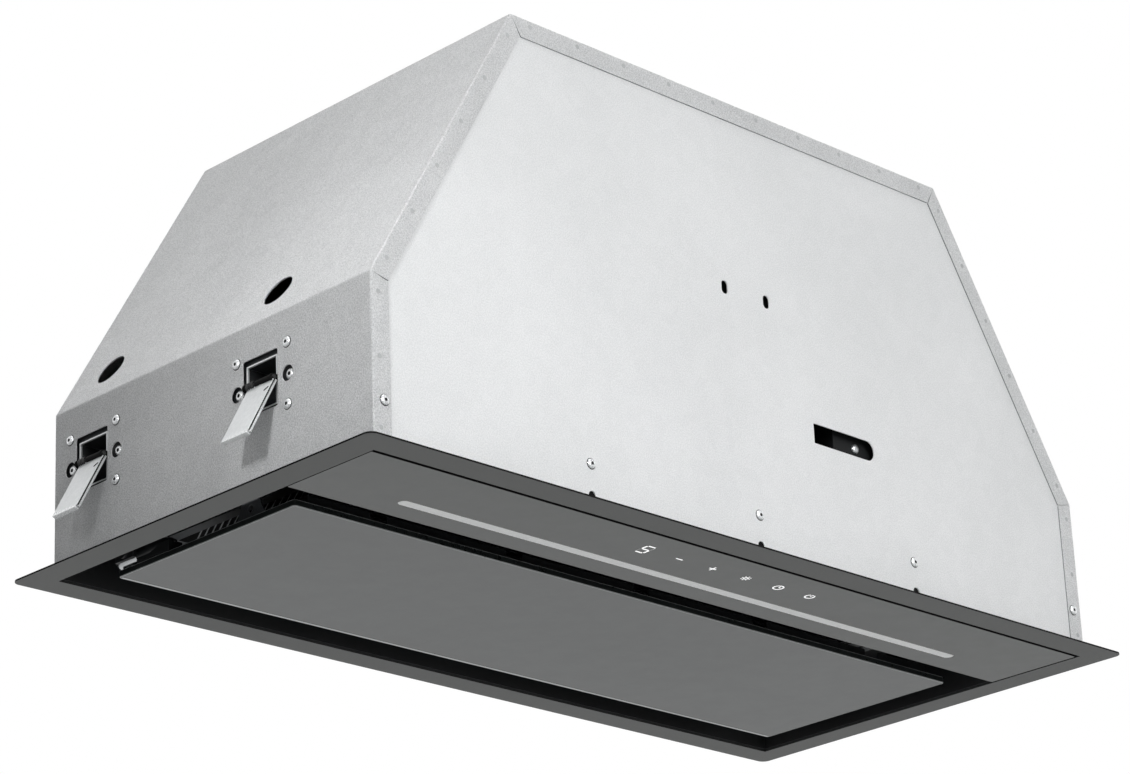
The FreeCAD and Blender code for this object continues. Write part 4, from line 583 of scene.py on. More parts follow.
def fold_seams(form, rim, end):
    """Seam strips folded in along one end, mitred apart at the bends."""
    last = len(PROFILE) - 2
    for index, edge in enumerate(rim):
        start, stop = (Vector((PROFILE[index + step][0], 0, PROFILE[index + step][1])) for step in (0, 1))
        along = (stop - start).normalized()
        inward = Vector((along.z, 0, -along.x))
        made = bmesh.ops.extrude_edge_only(form, edges=[edge])["geom"]
        for vert in verts_of(made):
            at_start = (vert.co - start).length < (vert.co - stop).length
            spot = start if at_start else stop
            free_end = (at_start and index == 0) or (not at_start and index == last)
            shift = 0.0
            if not free_end:
                other = index - 1 if at_start else index + 1
                near = Vector((PROFILE[other + 1][0] - PROFILE[other][0], 0,
                               PROFILE[other + 1][1] - PROFILE[other][1])).normalized()
                shift = SEAM_WIDTH * math.tan(along.angle(near) / 2) + MITRE_GAP
            vert.co = spot + inward * SEAM_WIDTH + along * (shift if at_start else -shift)
            vert.co.y = end * HALF_DEPTH


def place_in_profile(edge):
    """Place of an edge in the row of profile runs."""
    middle = (edge.verts[0].co + edge.verts[1].co) / 2
    centres = [Vector(((a[0] + b[0]) / 2, (a[1] + b[1]) / 2)) for a, b in zip(PROFILE, PROFILE[1:])]
    spot = Vector((middle.x, middle.z))
    return min(range(len(centres)), key=lambda index: (spot - centres[index]).length)


def make_casing_sheet():
    """Wrap-around sheet: sides, slopes and top, folded in at the front and back."""
    form = bmesh.new()
    verts = [form.verts.new((x, -HALF_DEPTH, z)) for x, z in PROFILE]
    front = [form.edges.new(pair) for pair in zip(verts, verts[1:])]
    made = bmesh.ops.extrude_edge_only(form, edges=front)["geom"]
    bmesh.ops.translate(form, vec=(0, 2 * HALF_DEPTH, 0), verts=verts_of(made))
    form.edges.ensure_lookup_table()

    def rim(end):
        edges = [edge for edge in form.edges
                 if all(abs(vert.co.y - end * HALF_DEPTH) < MERGE for vert in edge.verts)]
        return sorted(edges, key=place_in_profile)

    for end in (-1, 1):
        fold_seams(form, rim(end), end)
    bmesh.ops.recalc_face_normals(form, faces=form.faces)
    roof = max(form.faces, key=lambda face: face.calc_center_median().z)
    if roof.normal.z < 0:
        bmesh.ops.reverse_faces(form, faces=form.faces)
    bends = [edge for edge in form.edges
             if len(edge.link_faces) == 2 and edge.calc_face_angle() > LEAST_BEND]
    bmesh.ops.bevel(form, geom=bends, offset=BEND_RADIUS, segments=4, profile=0.5, affect="EDGES",
                    material=-1, clamp_overlap=True)
    item = add_piece("casing_sheet", form, "hood", ("galvanised_sheet", "cut_edge"),
                     stands_for=("casing_wrap",))
    wall = item.modifiers.new("sheet_thickness", "SOLIDIFY")
    wall.thickness = SHEET
    wall.offset = -1.0
    wall.material_offset_rim = 1
    cut_with(item, casing_cutters())
    item.data.set_sharp_from_angle(angle=math.radians(CREASE))
    flat = item.modifiers.new("flat_faces_flat", "WEIGHTED_NORMAL")
    flat.mode = "FACE_AREA"
    flat.keep_sharp = True


def settle(item):
    """Turn a piece's modifiers into its mesh."""
    graph = bpy.context.evaluated_depsgraph_get()
    graph.update()
    finished = bpy.data.meshes.new_from_object(item.evaluated_get(graph))
    item.modifiers.clear()
    old = item.data
    item.data = finished
    bpy.data.meshes.remove(old)


def cut_with(item, form):
    """Take a form away from a piece, and settle its modifiers."""
    cutter = mesh_object("cutter", form)
    holes = item.modifiers.new("holes", "BOOLEAN")
    holes.operation = "DIFFERENCE"
    holes.object = cutter
    settle(item)
    bpy.data.objects.remove(cutter)


make_casing_sheet()


def weld_spots():
    """Places of the spot welds on the seam strips at one end, as X and Z."""
    spots = [(step * TOP_WELD_PITCH / 2, TOP_WELD_HEIGHT) for step in range(1 - TOP_WELDS, TOP_WELDS, 2)]
    for side in (-1, 1):
        along = Vector((side * math.sin(SLOPE_ANGLE), -math.cos(SLOPE_ANGLE)))
        inward = Vector((-side * math.cos(SLOPE_ANGLE), -math.sin(SLOPE_ANGLE)))
        top = Vector((side * HALF_TOP, ROOF_HEIGHT))
        spots += [tuple(top + along * (SLOPE_WELD_START + step * SLOPE_WELD_PITCH) + inward * WELD_INSET)
                  for step in range(SLOPE_WELDS)]
        spots += [(side * (HALF_WIDTH - WELD_INSET), height) for height in WALL_WELD_HEIGHTS]
    return spots


def make_spot_welds():
    """Small ringed dimples left by the welding tips."""
    forms = [put(turned(WELD_OUTLINE, steps=14), standing((x, end * HALF_DEPTH, z), (0, end, 0)))
             for end in (-1, 1) for x, z in weld_spots()]
    add_piece("spot_welds", join_forms(forms), "hood", ("weld_mark",))


make_spot_welds()

# ---- pieces with softened edges


def flange_side(face):
    """Outer rim and collar of the flange, and the walls that face into its opening; these upright faces get
    painted shade.
    """
    if not upright_side(face):
        return 0
    middle = face.calc_center_median()
    return 2 if face.normal.x * middle.x + face.normal.y * middle.y < 0 else 1


def upright_side(face):
    return abs(face.normal.z) < 0.5


# painted shade: near-black outer rim, collar and arrises of the flange, and dark walls into its opening
soften("flange_frame", 0.08 * MM, ("grey_paint", "painted_shade_black", "painted_collar_shade"), pick_second=flange_side,
       arris=1)
# painted shade: the control glass's edges are near-black and its front is drawn back, so the gap reads dark
soften("control_glass", 0.12 * MM, ("grey_glass", "painted_shade_black"), pick_second=upright_side, arris=1,
       draw_back=1.7 * MM)
# the panel glass's arris takes the painted highlight finish
soften("panel_glass", 0.6 * MM, ("panel_grey_glass", "glass_edge", "glass_arris_painted_highlight"), segments=3,
       pick_second=upright_side, arris=2)
soften("light_diffuser", 0.2 * MM)
soften("panel_strikes", 0.2 * MM)
soften("hinge_brackets", 0.2 * MM, ("black_sheet",))
dress(frame["nodes"]["hinge_pins"], "black_sheet")
# painted shade: the clip pins and springs inside the boxes take the dark recess finish
dress(frame["nodes"]["clip_pins"], "painted_recess_shade")
for name in NODE_FINISH["spring_steel"]:
    dress(frame["nodes"][name], "painted_recess_shade")
soften("duct_spigot", 0.4 * MM)
soften("panel_tray", 0.25 * MM)
soften("catch_blocks", 0.4 * MM)
soften("filter_keepers", 0.15 * MM)
soften("cable_gland", 0.3 * MM)
for side in ("left", "right"):
    soften(f"filter_frame_{side}", 0.2 * MM)
    soften(f"filter_latch_{side}", 0.3 * MM)
    soften(f"flap_{side}", 0.3 * MM)

# ---- turned fasteners

RECESS_SLACK = 1.02
RIVET_RECESS = 0.95 * MM
# radius beyond which a rivet's faces get a painted shadow ring
RIVET_SHADOW_RING = 2.81 * MM
RIVET_OUTLINE = [(0, 0.2), (0.95, 0.2), (0.95, 1.2), (1.3, 1.3), (2.0, 1.12), (2.55, 0.74), (2.8, 0.4),
                 (2.8, 0.2), (3.2, 0.08), (3.2, -0.6), (0, -0.6)]
SCREW_RECESS = 1.1 * MM
SCREW_OUTLINE = [(0, 0.5), (1.1, 0.5), (1.1, 1.5), (1.5, 1.6), (2.3, 1.35), (2.8, 0.8), (2.9, 0.3),
                 (2.9, -0.9), (0, -0.9)]


def recess_or_shadow_ring(face, recess, shadow_ring=math.inf):
    """Faces of the centre hole, which get painted shade, and of the painted shadow ring round a rivet's
    head.
    """
    middle = face.calc_center_median()
    reach = Vector((middle.x, middle.y)).length
    return reach < recess * RECESS_SLACK or reach > shadow_ring


def make_rivets(name, node, spots):
    """Domed blind rivets, each with the hole its mandrel leaves."""
    def dark(face):
        return recess_or_shadow_ring(face, RIVET_RECESS, RIVET_SHADOW_RING)

    # painted shade in each mandrel hole and a painted shadow ring round each head
    forms = [put(turned(RIVET_OUTLINE, steps=20, pick_second=dark), standing(spot, direction))
             for spot, direction in spots]
    add_piece(name, join_forms(forms), "hood", ("rivet_steel", "painted_recess_shade"),
              stands_for=(node,), crease=TURNED_CREASE)


PLATE_FACE = 128.8 * MM
FRONT_RIVETS = (-130.0 * MM, 0.0, 130.0 * MM)
make_rivets("seam_rivets", "casing_rivets", [
    *((Vector((side * SEAM_RIVET[0], end * HALF_DEPTH, SEAM_RIVET[1])), (0, end, 0))
      for side in (-1, 1) for end in (-1, 1)),
    *((Vector((x, end * PLATE_FACE, SEAM_RIVET[1])), (0, end, 0))
      for x in FRONT_RIVETS for end in (-1, 1))])
make_rivets("clip_plate_rivets", "clip_rivets", [
    (Vector((side * HALF_WIDTH, row + column * CLIP_HOLE_OFFSET, CLIP_HEIGHT + rise * CLIP_RIVET_RISE)),
     (side, 0, 0))
    for side in (-1, 1) for row in CLIP_ROWS for column in (-1, 1) for rise in (-1, 1)])


def make_clip_screw_heads():
    """Low screw heads sunk in the larger holes beside each window."""
    forms = []
    for side in (-1, 1):
        for row in CLIP_ROWS:
            for column in (-1, 1):
                # painted shade in the centre recess of each screw head
                form = turned(SCREW_OUTLINE, steps=24,
                              pick_second=lambda face: recess_or_shadow_ring(face, SCREW_RECESS))
                spot = (side * (HALF_WIDTH - CLIP_SCREW_SINK), row + column * CLIP_HOLE_OFFSET, CLIP_HEIGHT)
                forms.append(put(form, standing(spot, (side, 0, 0))))
    add_piece("clip_screw_heads", join_forms(forms), "hood", ("rivet_steel", "painted_recess_shade"),
              stands_for=("clip_screws",), crease=TURNED_CREASE)


make_clip_screw_heads()

# ---- clips

CLIP_PLATE = (54.0 * MM, 48.0 * MM)
LINER = (24.4 * MM, 27.4 * MM)
LINER_RIM = 1.2 * MM
LINER_WALL = 1.3 * MM
LINER_DEPTH = 20.0 * MM
LINER_STEP = 1.2 * MM
CAGE_SHEET = 0.5 * MM
CAGE_ROUNDING = 0.15 * MM
PLATE_BACK = 2.6 * MM
PIVOT_OUT = 1.8 * MM
LUG_RADIUS = 2.2 * MM
LUG_FACE = 10.25 * MM
LUG_SHEET = 0.9 * MM
LUG_ROOT = 2.0 * MM
TAB_HALF = 9.95 * MM
TAB_SHIFT = -1.75 * MM
TAB_TOP = 0.2 * MM
TAB_END = 39.35 * MM
TAB_LAYERS = ((-1.0 * MM, -0.45 * MM, 0.0), (-0.45 * MM, 0.5 * MM, 0.7 * MM), (0.5 * MM, 1.55 * MM, 0.0))
TAB_STEP = 1.0 * MM
TAB_LEAN = math.radians(27.0)
TAB_ROUNDING = 0.22 * MM
HEM_LENGTH = 2.0 * MM
HEM_THICKNESS = 2.55 * MM
HEM_MIDDLE = 0.275 * MM
WEB_SIZE = Vector((1.1, 11.6, 4.2)) * MM
WEB_MIDDLE = Vector((0.9, -4.0, -2.0)) * MM
SLOT_SIZE = (2.4 * MM, 3.6 * MM, 1.6 * MM)
SLOT_CORNER = 0.7 * MM
SLOT_PLACE = Vector((-1.2, -9.6, -7.6)) * MM
SLOT_TURN = math.radians(-37)
BARREL_RADIUS = 1.9 * MM
BARREL_SPAN = (-10.0 * MM, 2.0 * MM)


def clip_place(side, row):
    """Turn and shift from a clip's own frame, +X inwards from the wall's face, to its window."""
    turn = Matrix.Rotation(math.pi if side > 0 else 0.0, 4, "Z")
    return Matrix.Translation((side * HALF_WIDTH, row, CLIP_HEIGHT)) @ turn


def make_lug(end):
    """Ear that holds one end of a clip's pin, its root sunk in the box."""
    lug = bmesh.new()
    bmesh.ops.create_circle(lug, cap_ends=True, radius=LUG_RADIUS, segments=20)
    for vert in lug.verts:
        if vert.co.x > TOLERANCE:
            vert.co.x = PIVOT_OUT + LINER_RIM + LUG_ROOT
    grown = bmesh.ops.extrude_face_region(lug, geom=lug.faces[:])["geom"]
    bmesh.ops.translate(lug, vec=(0, 0, LUG_SHEET), verts=verts_of(grown))
    bmesh.ops.recalc_face_normals(lug, faces=lug.faces)
    upright = Matrix.Rotation(math.radians(90 * end), 4, "X")
    return paint(put(lug, Matrix.Translation((-PIVOT_OUT, -end * LUG_FACE, 0)) @ upright), 2)


def make_cage(name, node, side, row):
    """Dark plate behind the wall with a box sunk in its window, its rim given a painted highlight in a
    lighter finish, and two lugs for the pin in painted shade black.
    """
    form = bmesh.new()
    bmesh.ops.create_grid(form, x_segments=3, y_segments=3, size=0.5)
    rows = [sorted({round(vert.co[axis], 6) for vert in form.verts}) for axis in (0, 1)]
    stops = [(-plate / 2, -liner / 2, liner / 2, plate / 2) for plate, liner in zip(CLIP_PLATE, LINER)]
    for vert in form.verts:
        across, up = (stops[axis][rows[axis].index(round(vert.co[axis], 6))] for axis in (0, 1))
        vert.co = (PLATE_BACK, across + WINDOW_SHIFT, up)
    middle = Vector((PLATE_BACK, WINDOW_SHIFT, 0))
    centre = min(form.faces, key=lambda face: (face.calc_center_median() - middle).length)
    # the rim faces take the lighter tab finish as a painted highlight
    for depth, inset, rim in ((LINER_RIM, 0.0, False), (LINER_RIM, LINER_WALL, True),
                              (LINER_RIM + LINER_STEP, 0.0, True), (LINER_DEPTH, 0.0, False)):
        if inset:
            made = bmesh.ops.inset_region(form, faces=[centre], thickness=inset)["faces"]
        else:
            grown = bmesh.ops.extrude_discrete_faces(form, faces=[centre])["faces"]
            centre = grown[0]
            made = {face for edge in centre.edges for face in edge.link_faces if face != centre}
            for vert in centre.verts:
                vert.co.x = depth
        for face in made:
            face.material_index = int(rim)
    bmesh.ops.remove_doubles(form, verts=form.verts, dist=MERGE)
    bmesh.ops.recalc_face_normals(form, faces=form.faces)
    if max(form.faces, key=lambda face: face.calc_area()).normal.x > 0:
        bmesh.ops.reverse_faces(form, faces=form.faces)
    bmesh.ops.solidify(form, geom=form.faces[:], thickness=CAGE_SHEET)
    whole = put(join_forms([form, make_lug(-1), make_lug(1)]), clip_place(side, row))
    # slots: plate in dark zinc, rim as painted highlight, lugs in painted shade black
    item = add_piece(name, whole, "hood", ("clip_zinc", "tab_zinc", "painted_shade_black"),
                     stands_for=(node,))
    round_edges(item, CAGE_ROUNDING)


def make_tab(name, node, side, row, body):
    """Sprung tab: sheet folded double, hemmed at its free end and hung from a rolled barrel; its set-in
    middle layer, web, slot and barrel are painted shade black.
    """
    forms = []
    for outer, inner, inset in TAB_LAYERS:
        layer = bmesh.new()
        bmesh.ops.create_cube(layer, size=1.0)
        for vert in layer.verts:
            top = vert.co.z > 0
            across = (inner if vert.co.x > 0 else outer) + (TAB_STEP if top else 0.0)
            along = TAB_SHIFT + math.copysign(TAB_HALF - inset, vert.co.y)
            vert.co = (across, along, -(TAB_TOP + inset if top else TAB_END - HEM_LENGTH / 2))
        # the set-in middle layer is painted shade black, a dark groove along the blade's side
        forms.append(paint(layer, 2 if inset else 0))
    hem = block((HEM_MIDDLE, TAB_SHIFT, HEM_LENGTH / 2 - TAB_END),
                (HEM_THICKNESS, 2 * TAB_HALF, HEM_LENGTH))
    start, end = (Vector((0, along, 0)) for along in BARREL_SPAN)
    barrel = turned_rod(BARREL_RADIUS, start, end, steps=28)
    # the web and the barrel are painted shade black
    forms += [paint(hem, 1), paint(block(WEB_MIDDLE, WEB_SIZE), 2), paint(barrel, 2)]
    lean = Matrix.Rotation(TAB_LEAN, 4, "Y")
    spot = clip_place(side, row) @ Matrix.Translation((-PIVOT_OUT, 0, 0)) @ lean
    item = add_piece(name, put(join_forms(forms), spot), body, ("tab_zinc", "rivet_steel", "painted_shade_black"),
                     stands_for=(node,))
    # the slot's walls are painted shade black
    slot = paint(rounded_block((0, 0, 0), SLOT_SIZE, SLOT_CORNER), 2)
    aside = Matrix.Translation(SLOT_PLACE) @ Matrix.Rotation(SLOT_TURN, 4, "X")
    cut_with(item, put(slot, spot @ aside))
    round_edges(item, TAB_ROUNDING, 2)
    item.data.set_sharp_from_angle(angle=math.radians(CREASE))


for side_name, side in (("left", -1), ("right", 1)):
    for end_name, row in zip(("front", "back"), CLIP_ROWS):
        key = f"{end_name}_{side_name}"
        make_cage(f"clip_box_{key}", f"clip_cage_{key}", side, row)
        make_tab(f"clip_blade_{key}", f"clip_tab_{key}", side, row, f"clip_{key}")

# ---- painted highlight along the panel's back edge

EDGE_LINE_END = 1.5 * MM
EDGE_LINE_WIDTH = 1.4 * MM
EDGE_LINE_HEIGHT = 0.4 * MM
EDGE_LINE_RISE = 0.15 * MM


def make_painted_highlight_line():
    """Painted highlight: a bright strip along the underside of the panel's back edge."""
    low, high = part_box("panel_glass")
    middle = ((low[0] + high[0]) / 2, high[1] - EDGE_LINE_WIDTH, low[2] + EDGE_LINE_RISE)
    size = (high[0] - low[0] - 2 * EDGE_LINE_END, EDGE_LINE_WIDTH, EDGE_LINE_HEIGHT)
    add_piece("panel_edge_line", block(middle, size), "panel", ("painted_highlight_line",))


make_painted_highlight_line()

# ---- control box screws

BOX_FACE = -124.0 * MM
BOX_SCREW_SPOTS = [(x * MM, z * MM) for x in (90.6, 153.4) for z in (88.0, 132.0)]
BOX_SCREW_OUTLINE = [(0, 1.5), (1.6, 1.4), (2.5, 0.9), (2.9, 0.2), (2.9, -0.4), (0, -0.4)]


def make_box_screws():
    """Domed screws that hold the lid of the control box."""
    forms = [put(turned(BOX_SCREW_OUTLINE, steps=20), standing((x, BOX_FACE, z), (0, -1, 0)))
             for x, z in BOX_SCREW_SPOTS]
    add_piece("control_box_screws", join_forms(forms), "hood", ("screw_steel",),
              crease=TURNED_CREASE)


make_box_screws()

# ---- hinge arms

ARM_SIDE = 254.0 * MM
ARM_HEIGHT = 10.3 * MM
ARM_START = 60.2 * MM
CAP_START = 88.5 * MM
ARM_OUTLINE = [(0, 0), (0.8, 0), (2.9, 3.5), (4.5, 9.5), (5.5, 17.0), (5.5, 28.3), (0, 28.3)]
CAP_OUTLINE = [(0, 0), (5.4, 0), (5.7, 0.3), (5.7, 12.6), (5.5, 15.3), (4.8, 17.5), (3.6, 18.9),
               (2.1, 19.5), (0, 19.7)]
FOOT_WIDTH = 9.1 * MM
FOOT_THICKNESS = 5.9 * MM
FOOT_HEIGHT = 7.3 * MM
FOOT_GAP = 1.0 * MM


def make_hinge_arms():
    """Dark round arms standing on the panel's tray, each with a polished domed cap at its back end."""
    rods, caps = [], []
    lying = Matrix.Rotation(math.radians(-90), 4, "X")
    foot_size = (FOOT_WIDTH, CAP_START - ARM_START - FOOT_GAP, FOOT_THICKNESS)
    for side in (-1, 1):
        start = Matrix.Translation((side * ARM_SIDE, ARM_START, ARM_HEIGHT))
        rods += [put(turned(ARM_OUTLINE, steps=40), start @ lying),
                 block((side * ARM_SIDE, (ARM_START + CAP_START) / 2, FOOT_HEIGHT), foot_size)]
        end = Matrix.Translation((side * ARM_SIDE, CAP_START, ARM_HEIGHT))
        caps.append(put(turned(CAP_OUTLINE, steps=40), end @ lying))
    add_piece("hinge_arm_rods", join_forms(rods), "panel", ("black_sheet",),
              stands_for=("panel_hinge_arms",), crease=TURNED_CREASE)
    add_piece("hinge_arm_caps", join_forms(caps), "panel", ("polished_steel",),
              crease=TURNED_CREASE)


make_hinge_arms()

# ---- filter edge grilles

GRILLE_BAND = (212.0 * MM, 221.5 * MM)
GRILLE_RIM = 229.0 * MM
GRILLE_RUN = (-38.0 * MM, 99.0 * MM)
GRILLE_FACE = 28.15 * MM
GRILLE_PITCH = 6.2 * MM
GRILLE_BAR = 0.75 * MM
GRILLE_RAKE = 1.73
GRILLE_SHEET = 0.3 * MM
GRILLE_STEP = 0.05 * MM
# how far the plain rim runs past the slots, at the front and at the back
RIM_PAST = (5.0 * MM, 6.0 * MM)
FIRST_SLOT = 4.0 * MM


def make_edge_grilles():
    """Row of slanted slots along the outer edge of each filter, drawn as bars over a strip in painted shade
    black, with a plain rim beside it.
    """
    form = bmesh.new()
    width = GRILLE_BAND[1] - GRILLE_BAND[0]

    def strip(corners, height, index):
        """Thin plate from corners, hanging from the filter."""
        verts = [form.verts.new((x, y, height)) for x, y in corners]
        face = form.faces.new(verts)
        grown = bmesh.ops.extrude_face_region(form, geom=[face])["geom"]
        bmesh.ops.translate(form, vec=(0, 0, GRILLE_SHEET), verts=verts_of(grown))
        for vert in verts:
            for near in vert.link_faces:
                near.material_index = index
        for item in grown:
            if isinstance(item, bmesh.types.BMFace):
                item.material_index = index

    for side in (-1, 1):
        inner, outer, rim = (side * reach for reach in (*GRILLE_BAND, GRILLE_RIM))
        first, last = GRILLE_RUN
        # the strip under the bars is painted shade for the dark slot openings
        strip([(inner, first), (outer, first), (outer, last), (inner, last)], GRILLE_FACE, 1)
        low, high = first - RIM_PAST[0], last + RIM_PAST[1]
        strip([(outer, low), (rim, low), (rim, high), (outer, high)], GRILLE_FACE - GRILLE_STEP, 2)
        count = int((last - first - width * GRILLE_RAKE) / GRILLE_PITCH)
        for step in range(count + 1):
            start = last - FIRST_SLOT - step * GRILLE_PITCH
            end = start - width * GRILLE_RAKE
            half = GRILLE_BAR * math.sqrt(1 + GRILLE_RAKE ** 2) / 2
            strip([(inner, start - half), (outer, end - half), (outer, end + half), (inner, start + half)],
                  GRILLE_FACE - GRILLE_STEP, 0)
    bmesh.ops.recalc_face_normals(form, faces=form.faces)
    add_piece("filter_edge_grilles", form, "hood", ("grille_bar", "painted_shade_black", "bracket_steel"))


make_edge_grilles()

# ---- touch marks

MARK_LIFT = 0.01 * MM
MARK_REACH = 2.5 * MM
RING_STEP = 12
LAMP_RING = 1.3 * MM
RAY_COUNT = 8
RAY_SPAN = (2.1, 3.1)
TIMER_RING = 3.0 * MM
LONG_HAND = (0.3 * MM, 2.1 * MM)
SHORT_HAND = (0.25 * MM, 1.7 * MM)
POWER_RING = 2.8 * MM
POWER_ARC = (120, 420)
POWER_BAR = (0.4 * MM, 3.1 * MM)
DIGIT_SIZE = (3.0 * MM, 5.0 * MM)
DIGIT_CUT = 0.5 * MM
# along X, each mark's middle
MARK_PLACES = {"digit": -65.6 * MM, "minus": -39.4 * MM, "plus": -13.1 * MM, "lamp": 13.5 * MM,
               "timer": 40.0 * MM, "power": 66.0 * MM}


def flat_strip(form, corners):
    """Quad on the glass from corners in the mark's own plane, facing down."""
    verts = [form.verts.new((x, -y, 0)) for x, y in corners]
    form.faces.new(verts)


def bar(form, start, end, line=MARK_LINE):
    """Straight stroke between two points."""
    start, end = Vector(start), Vector(end)
    side = (end - start).normalized().orthogonal() * line / 2
    flat_strip(form, [start - side, end - side, end + side, start + side])


def ring(form, centre, radius, first=0, last=360, line=MARK_LINE):
    """Round stroke spun from a short edge."""
    inner, outer = radius - line / 2, radius + line / 2
    at = math.radians(first)
    aim = Vector((math.cos(at), -math.sin(at), 0))
    middle = Vector((centre[0], -centre[1], 0))
    pair = [form.verts.new(middle + aim * reach) for reach in (inner, outer)]
    edge = form.edges.new(pair)
    full = last - first >= 360
    bmesh.ops.spin(form, geom=[*pair, edge], cent=middle, axis=(0, 0, -1), angle=math.radians(last - first),
                   steps=max(6, int((last - first) / RING_STEP)), use_merge=full)


def finish_mark(form, place, finish="printed_mark_painted_glow", name=None):
    """Give a mark its place and a printed thickness, and put it on the glass."""
    bmesh.ops.remove_doubles(form, verts=form.verts, dist=MERGE)
    bmesh.ops.recalc_face_normals(form, faces=form.faces)
    if sum(face.normal.z for face in form.faces) > 0:
        bmesh.ops.reverse_faces(form, faces=form.faces)
    grown = bmesh.ops.extrude_face_region(form, geom=form.faces[:])["geom"]
    bmesh.ops.translate(form, vec=(0, 0, -MARK_DEPTH), verts=verts_of(grown))
    bmesh.ops.recalc_face_normals(form, faces=form.faces)
    bmesh.ops.translate(form, vec=(MARK_PLACES[place], MARK_ROW, GLASS_FACE + MARK_LIFT), verts=form.verts)
    add_piece(name or f"mark_{place}", form, "hood", (finish,))


def make_touch_marks():
    """Minus, plus, lamp, timer and power marks."""
    minus = bmesh.new()
    bar(minus, (-MARK_REACH, 0), (MARK_REACH, 0))
    finish_mark(minus, "minus")
    plus = bmesh.new()
    bmesh.ops.create_grid(plus, x_segments=3, y_segments=3, size=MARK_LINE * 1.5)
    corners = [face for face in plus.faces
               if min(abs(along) for along in face.calc_center_median()[:2]) > TOLERANCE]
    bmesh.ops.delete(plus, geom=corners, context="FACES")
    for vert in plus.verts:
        for axis in (0, 1):
            if abs(vert.co[axis]) > MARK_LINE:
                vert.co[axis] = math.copysign(MARK_REACH, vert.co[axis])
    finish_mark(plus, "plus")
    lamp = bmesh.new()
    ring(lamp, (0, 0), LAMP_RING, line=0.7 * MM)
    for step in range(RAY_COUNT):
        turn = step * math.tau / RAY_COUNT
        aim = Vector((math.cos(turn), math.sin(turn)))
        bar(lamp, aim * RAY_SPAN[0] * MM, aim * RAY_SPAN[1] * MM, line=0.6 * MM)
    finish_mark(lamp, "lamp")
    timer = bmesh.new()
    ring(timer, (0, 0), TIMER_RING, line=0.8 * MM)
    bar(timer, (0, LONG_HAND[0]), (0, LONG_HAND[1]), line=0.5 * MM)
    bar(timer, (SHORT_HAND[0], 0), (SHORT_HAND[1], 0), line=0.5 * MM)
    finish_mark(timer, "timer")
    power = bmesh.new()
    ring(power, (0, 0), POWER_RING, *POWER_ARC, line=0.85 * MM)
    bar(power, (0, POWER_BAR[0]), (0, POWER_BAR[1]), line=0.6 * MM)
    finish_mark(power, "power")


def make_digit():
    """Seven-segment digit, five of its bars lit."""
    half, rise = DIGIT_SIZE
    cut = DIGIT_CUT
    bars = {
        "top": ((-half + cut, rise), (half - cut, rise)),
        "middle": ((-half + cut, 0), (half - cut, 0)),
        "bottom": ((-half + cut, -rise), (half - cut, -rise)),
        "upper_left": ((-half, cut), (-half, rise - cut)),
        "upper_right": ((half, cut), (half, rise - cut)),
        "lower_left": ((-half, -rise + cut), (-half, -cut)),
        "lower_right": ((half, -rise + cut), (half, -cut)),
    }
    unlit = {"upper_right", "lower_left"}
    for name, chosen, finish in (("digit_lit", set(bars) - unlit, "printed_mark_painted_glow"),
                                 ("digit_unlit", unlit, "unlit_mark")):
        form = bmesh.new()
        for key in sorted(chosen):
            bar(form, *bars[key], line=1.1 * MM)
        finish_mark(form, "digit", finish, name)


make_touch_marks()
make_digit()

# ---- stage

FLOOR_HEIGHT = -0.9
CAMERA_PLACE = Vector((-1.395713, -1.357780, -0.625749))
CAMERA_RIGHT = Vector((0.71238598, -0.70055458, -0.04158723))
CAMERA_UP = Vector((-0.23008477, -0.28913257, 0.92922729))
CAMERA_LENS = 114.92
SENSOR_WIDTH = 36.0
WHITE = (1.0, 1.0, 1.0, 1.0)
FLOOR_RADIUS = 14.0
FLOOR_FADE = (2.5, 6.0)
FLOOR_LIGHT = (0.46, 0.46, 0.46, 1.0)
FLOOR_SEEN = (0.8, 0.8, 0.8, 1.0)
WORLD_STRENGTH = 0.05

# place, aim, size, power and spread in degrees of each lamp
LAMPS = {
    "front_lamp": ((-0.5, -2.85, 0.9), (0, 0, 0.12), 1.7, 62, 180),
    "top_lamp": ((0.0, 0.0, 3.0), (0, 0, 0.2), 1.8, 64, 180),
    "back_lamp": ((0.6, 3.0, 1.0), (0, 0, 0.15), 2.0, 48, 180),
    "right_lamp": ((3.0, 0.3, 0.9), (0, 0, 0.15), 2.0, 30, 180),
    "left_lamp": ((-1.25, -0.5, 0.35), (-0.2825, -0.16, 0.08), 0.25, 0.2, 26),
}


def make_camera():
    data = bpy.data.cameras.new("camera")
    data.sensor_width = SENSOR_WIDTH
    data.lens = CAMERA_LENS
    camera = new_object("camera", data)
    back = CAMERA_RIGHT.cross(CAMERA_UP).normalized()
    turn = Matrix((CAMERA_RIGHT, CAMERA_UP, back)).transposed()
    camera.matrix_world = Matrix.Translation(CAMERA_PLACE) @ turn.to_4x4()
    bpy.context.scene.camera = camera
    bpy.context.scene.view_settings.view_transform = "Standard"


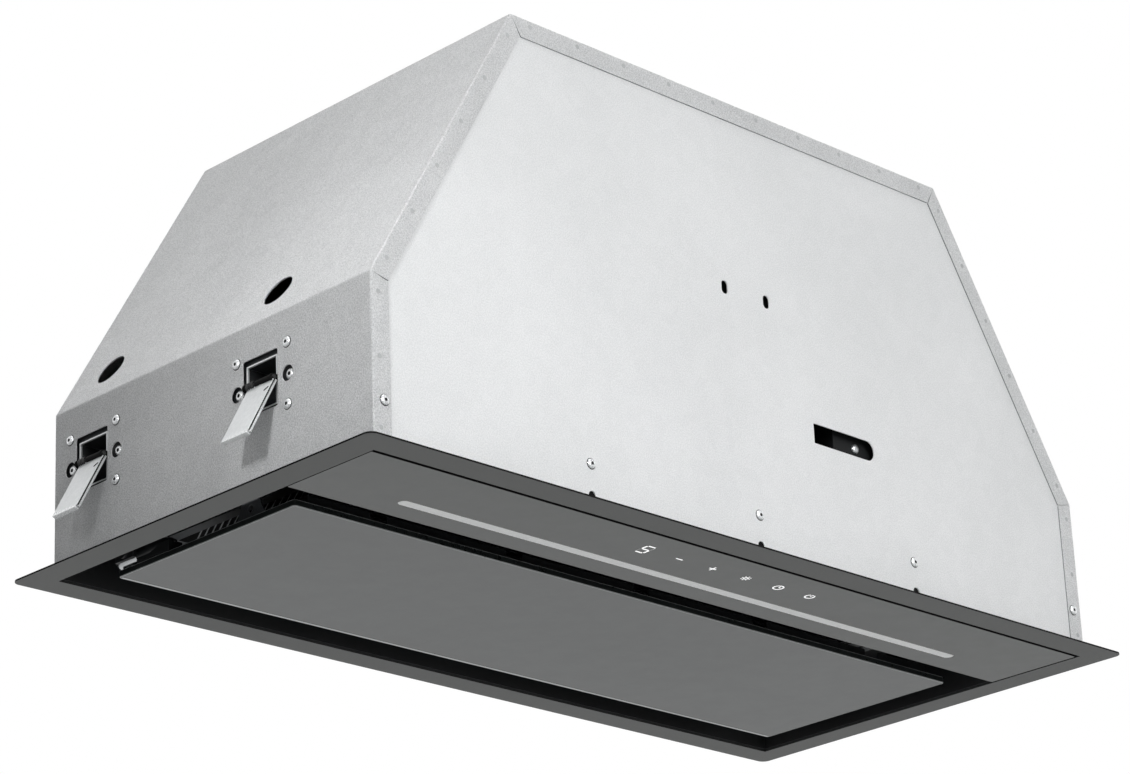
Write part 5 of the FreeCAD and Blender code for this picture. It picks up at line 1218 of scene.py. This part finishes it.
def make_floor():
    """Pale floor that fades to white far out and can't be seen from underneath."""
    form = bmesh.new()
    bmesh.ops.create_circle(form, cap_ends=True, radius=FLOOR_RADIUS, segments=96)
    bmesh.ops.translate(form, vec=(0, 0, FLOOR_HEIGHT), verts=form.verts)
    floor = mesh_object("floor", form)
    made = bpy.data.materials.new("pale_floor")
    made.use_nodes = True
    tree = made.node_tree
    surface = tree.nodes["Principled BSDF"]
    surface.inputs["Roughness"].default_value = 0.9
    white = add_node(tree, "Emission", Color=WHITE, Strength=1.0)
    clear = add_node(tree, "BsdfTransparent")
    place = add_node(tree, "TexCoord")
    reach = add_node(tree, "VectorMath", {"operation": "LENGTH"}, _0=place.outputs["Object"])
    fade = add_node(tree, "MapRange", {"interpolation_type": "SMOOTHSTEP"},
                    Value=reach.outputs["Value"], From_Min=FLOOR_FADE[0], From_Max=FLOOR_FADE[1])
    path = add_node(tree, "LightPath")
    seen = math_node(tree, "MAXIMUM", path.outputs["Is Camera Ray"], path.outputs["Is Glossy Ray"])
    pale = blend_colours(tree, seen, FLOOR_LIGHT, FLOOR_SEEN)
    tree.links.new(pale, surface.inputs["Base Color"])
    share = math_node(tree, "MULTIPLY", fade.outputs[0], seen)
    lit = add_node(tree, "MixShader", _0=share, _1=surface.outputs[0], _2=white.outputs[0])
    side = add_node(tree, "NewGeometry")
    whole = add_node(tree, "MixShader", _0=side.outputs["Backfacing"], _1=lit.outputs[0],
                     _2=clear.outputs[0])
    tree.links.new(whole.outputs[0], tree.nodes["Material Output"].inputs["Surface"])
    floor.data.materials.append(made)


def make_world():
    """Even light all round; the camera and the reflections see plain white."""
    world = bpy.data.worlds.new("studio")
    bpy.context.scene.world = world
    world.use_nodes = True
    tree = world.node_tree
    soft = tree.nodes["Background"]
    soft.inputs["Color"].default_value = WHITE
    soft.inputs["Strength"].default_value = WORLD_STRENGTH
    white = add_node(tree, "Background", Color=WHITE, Strength=1.0)
    path = add_node(tree, "LightPath")
    seen = math_node(tree, "MAXIMUM", path.outputs["Is Camera Ray"],
                     math_node(tree, "MAXIMUM", path.outputs["Is Glossy Ray"],
                               path.outputs["Is Transmission Ray"]))
    mix = add_node(tree, "MixShader", _0=seen, _1=soft.outputs[0], _2=white.outputs[0])
    tree.links.new(mix.outputs[0], tree.nodes["World Output"].inputs["Surface"])


def add_lamp(name, spot, aim, size, power, spread):
    """Square soft lamp looking at a point."""
    data = bpy.data.lights.new(name, "AREA")
    data.size = size
    data.energy = power
    data.spread = math.radians(spread)
    lamp = new_object(name, data)
    lamp.visible_camera = False
    spot, aim = Vector(spot), Vector(aim)
    turn = (aim - spot).to_track_quat("-Z", "Y").to_matrix().to_4x4()
    lamp.matrix_world = Matrix.Translation(spot) @ turn


make_camera()
make_floor()
make_world()
for name, settings in LAMPS.items():
    add_lamp(name, *settings)
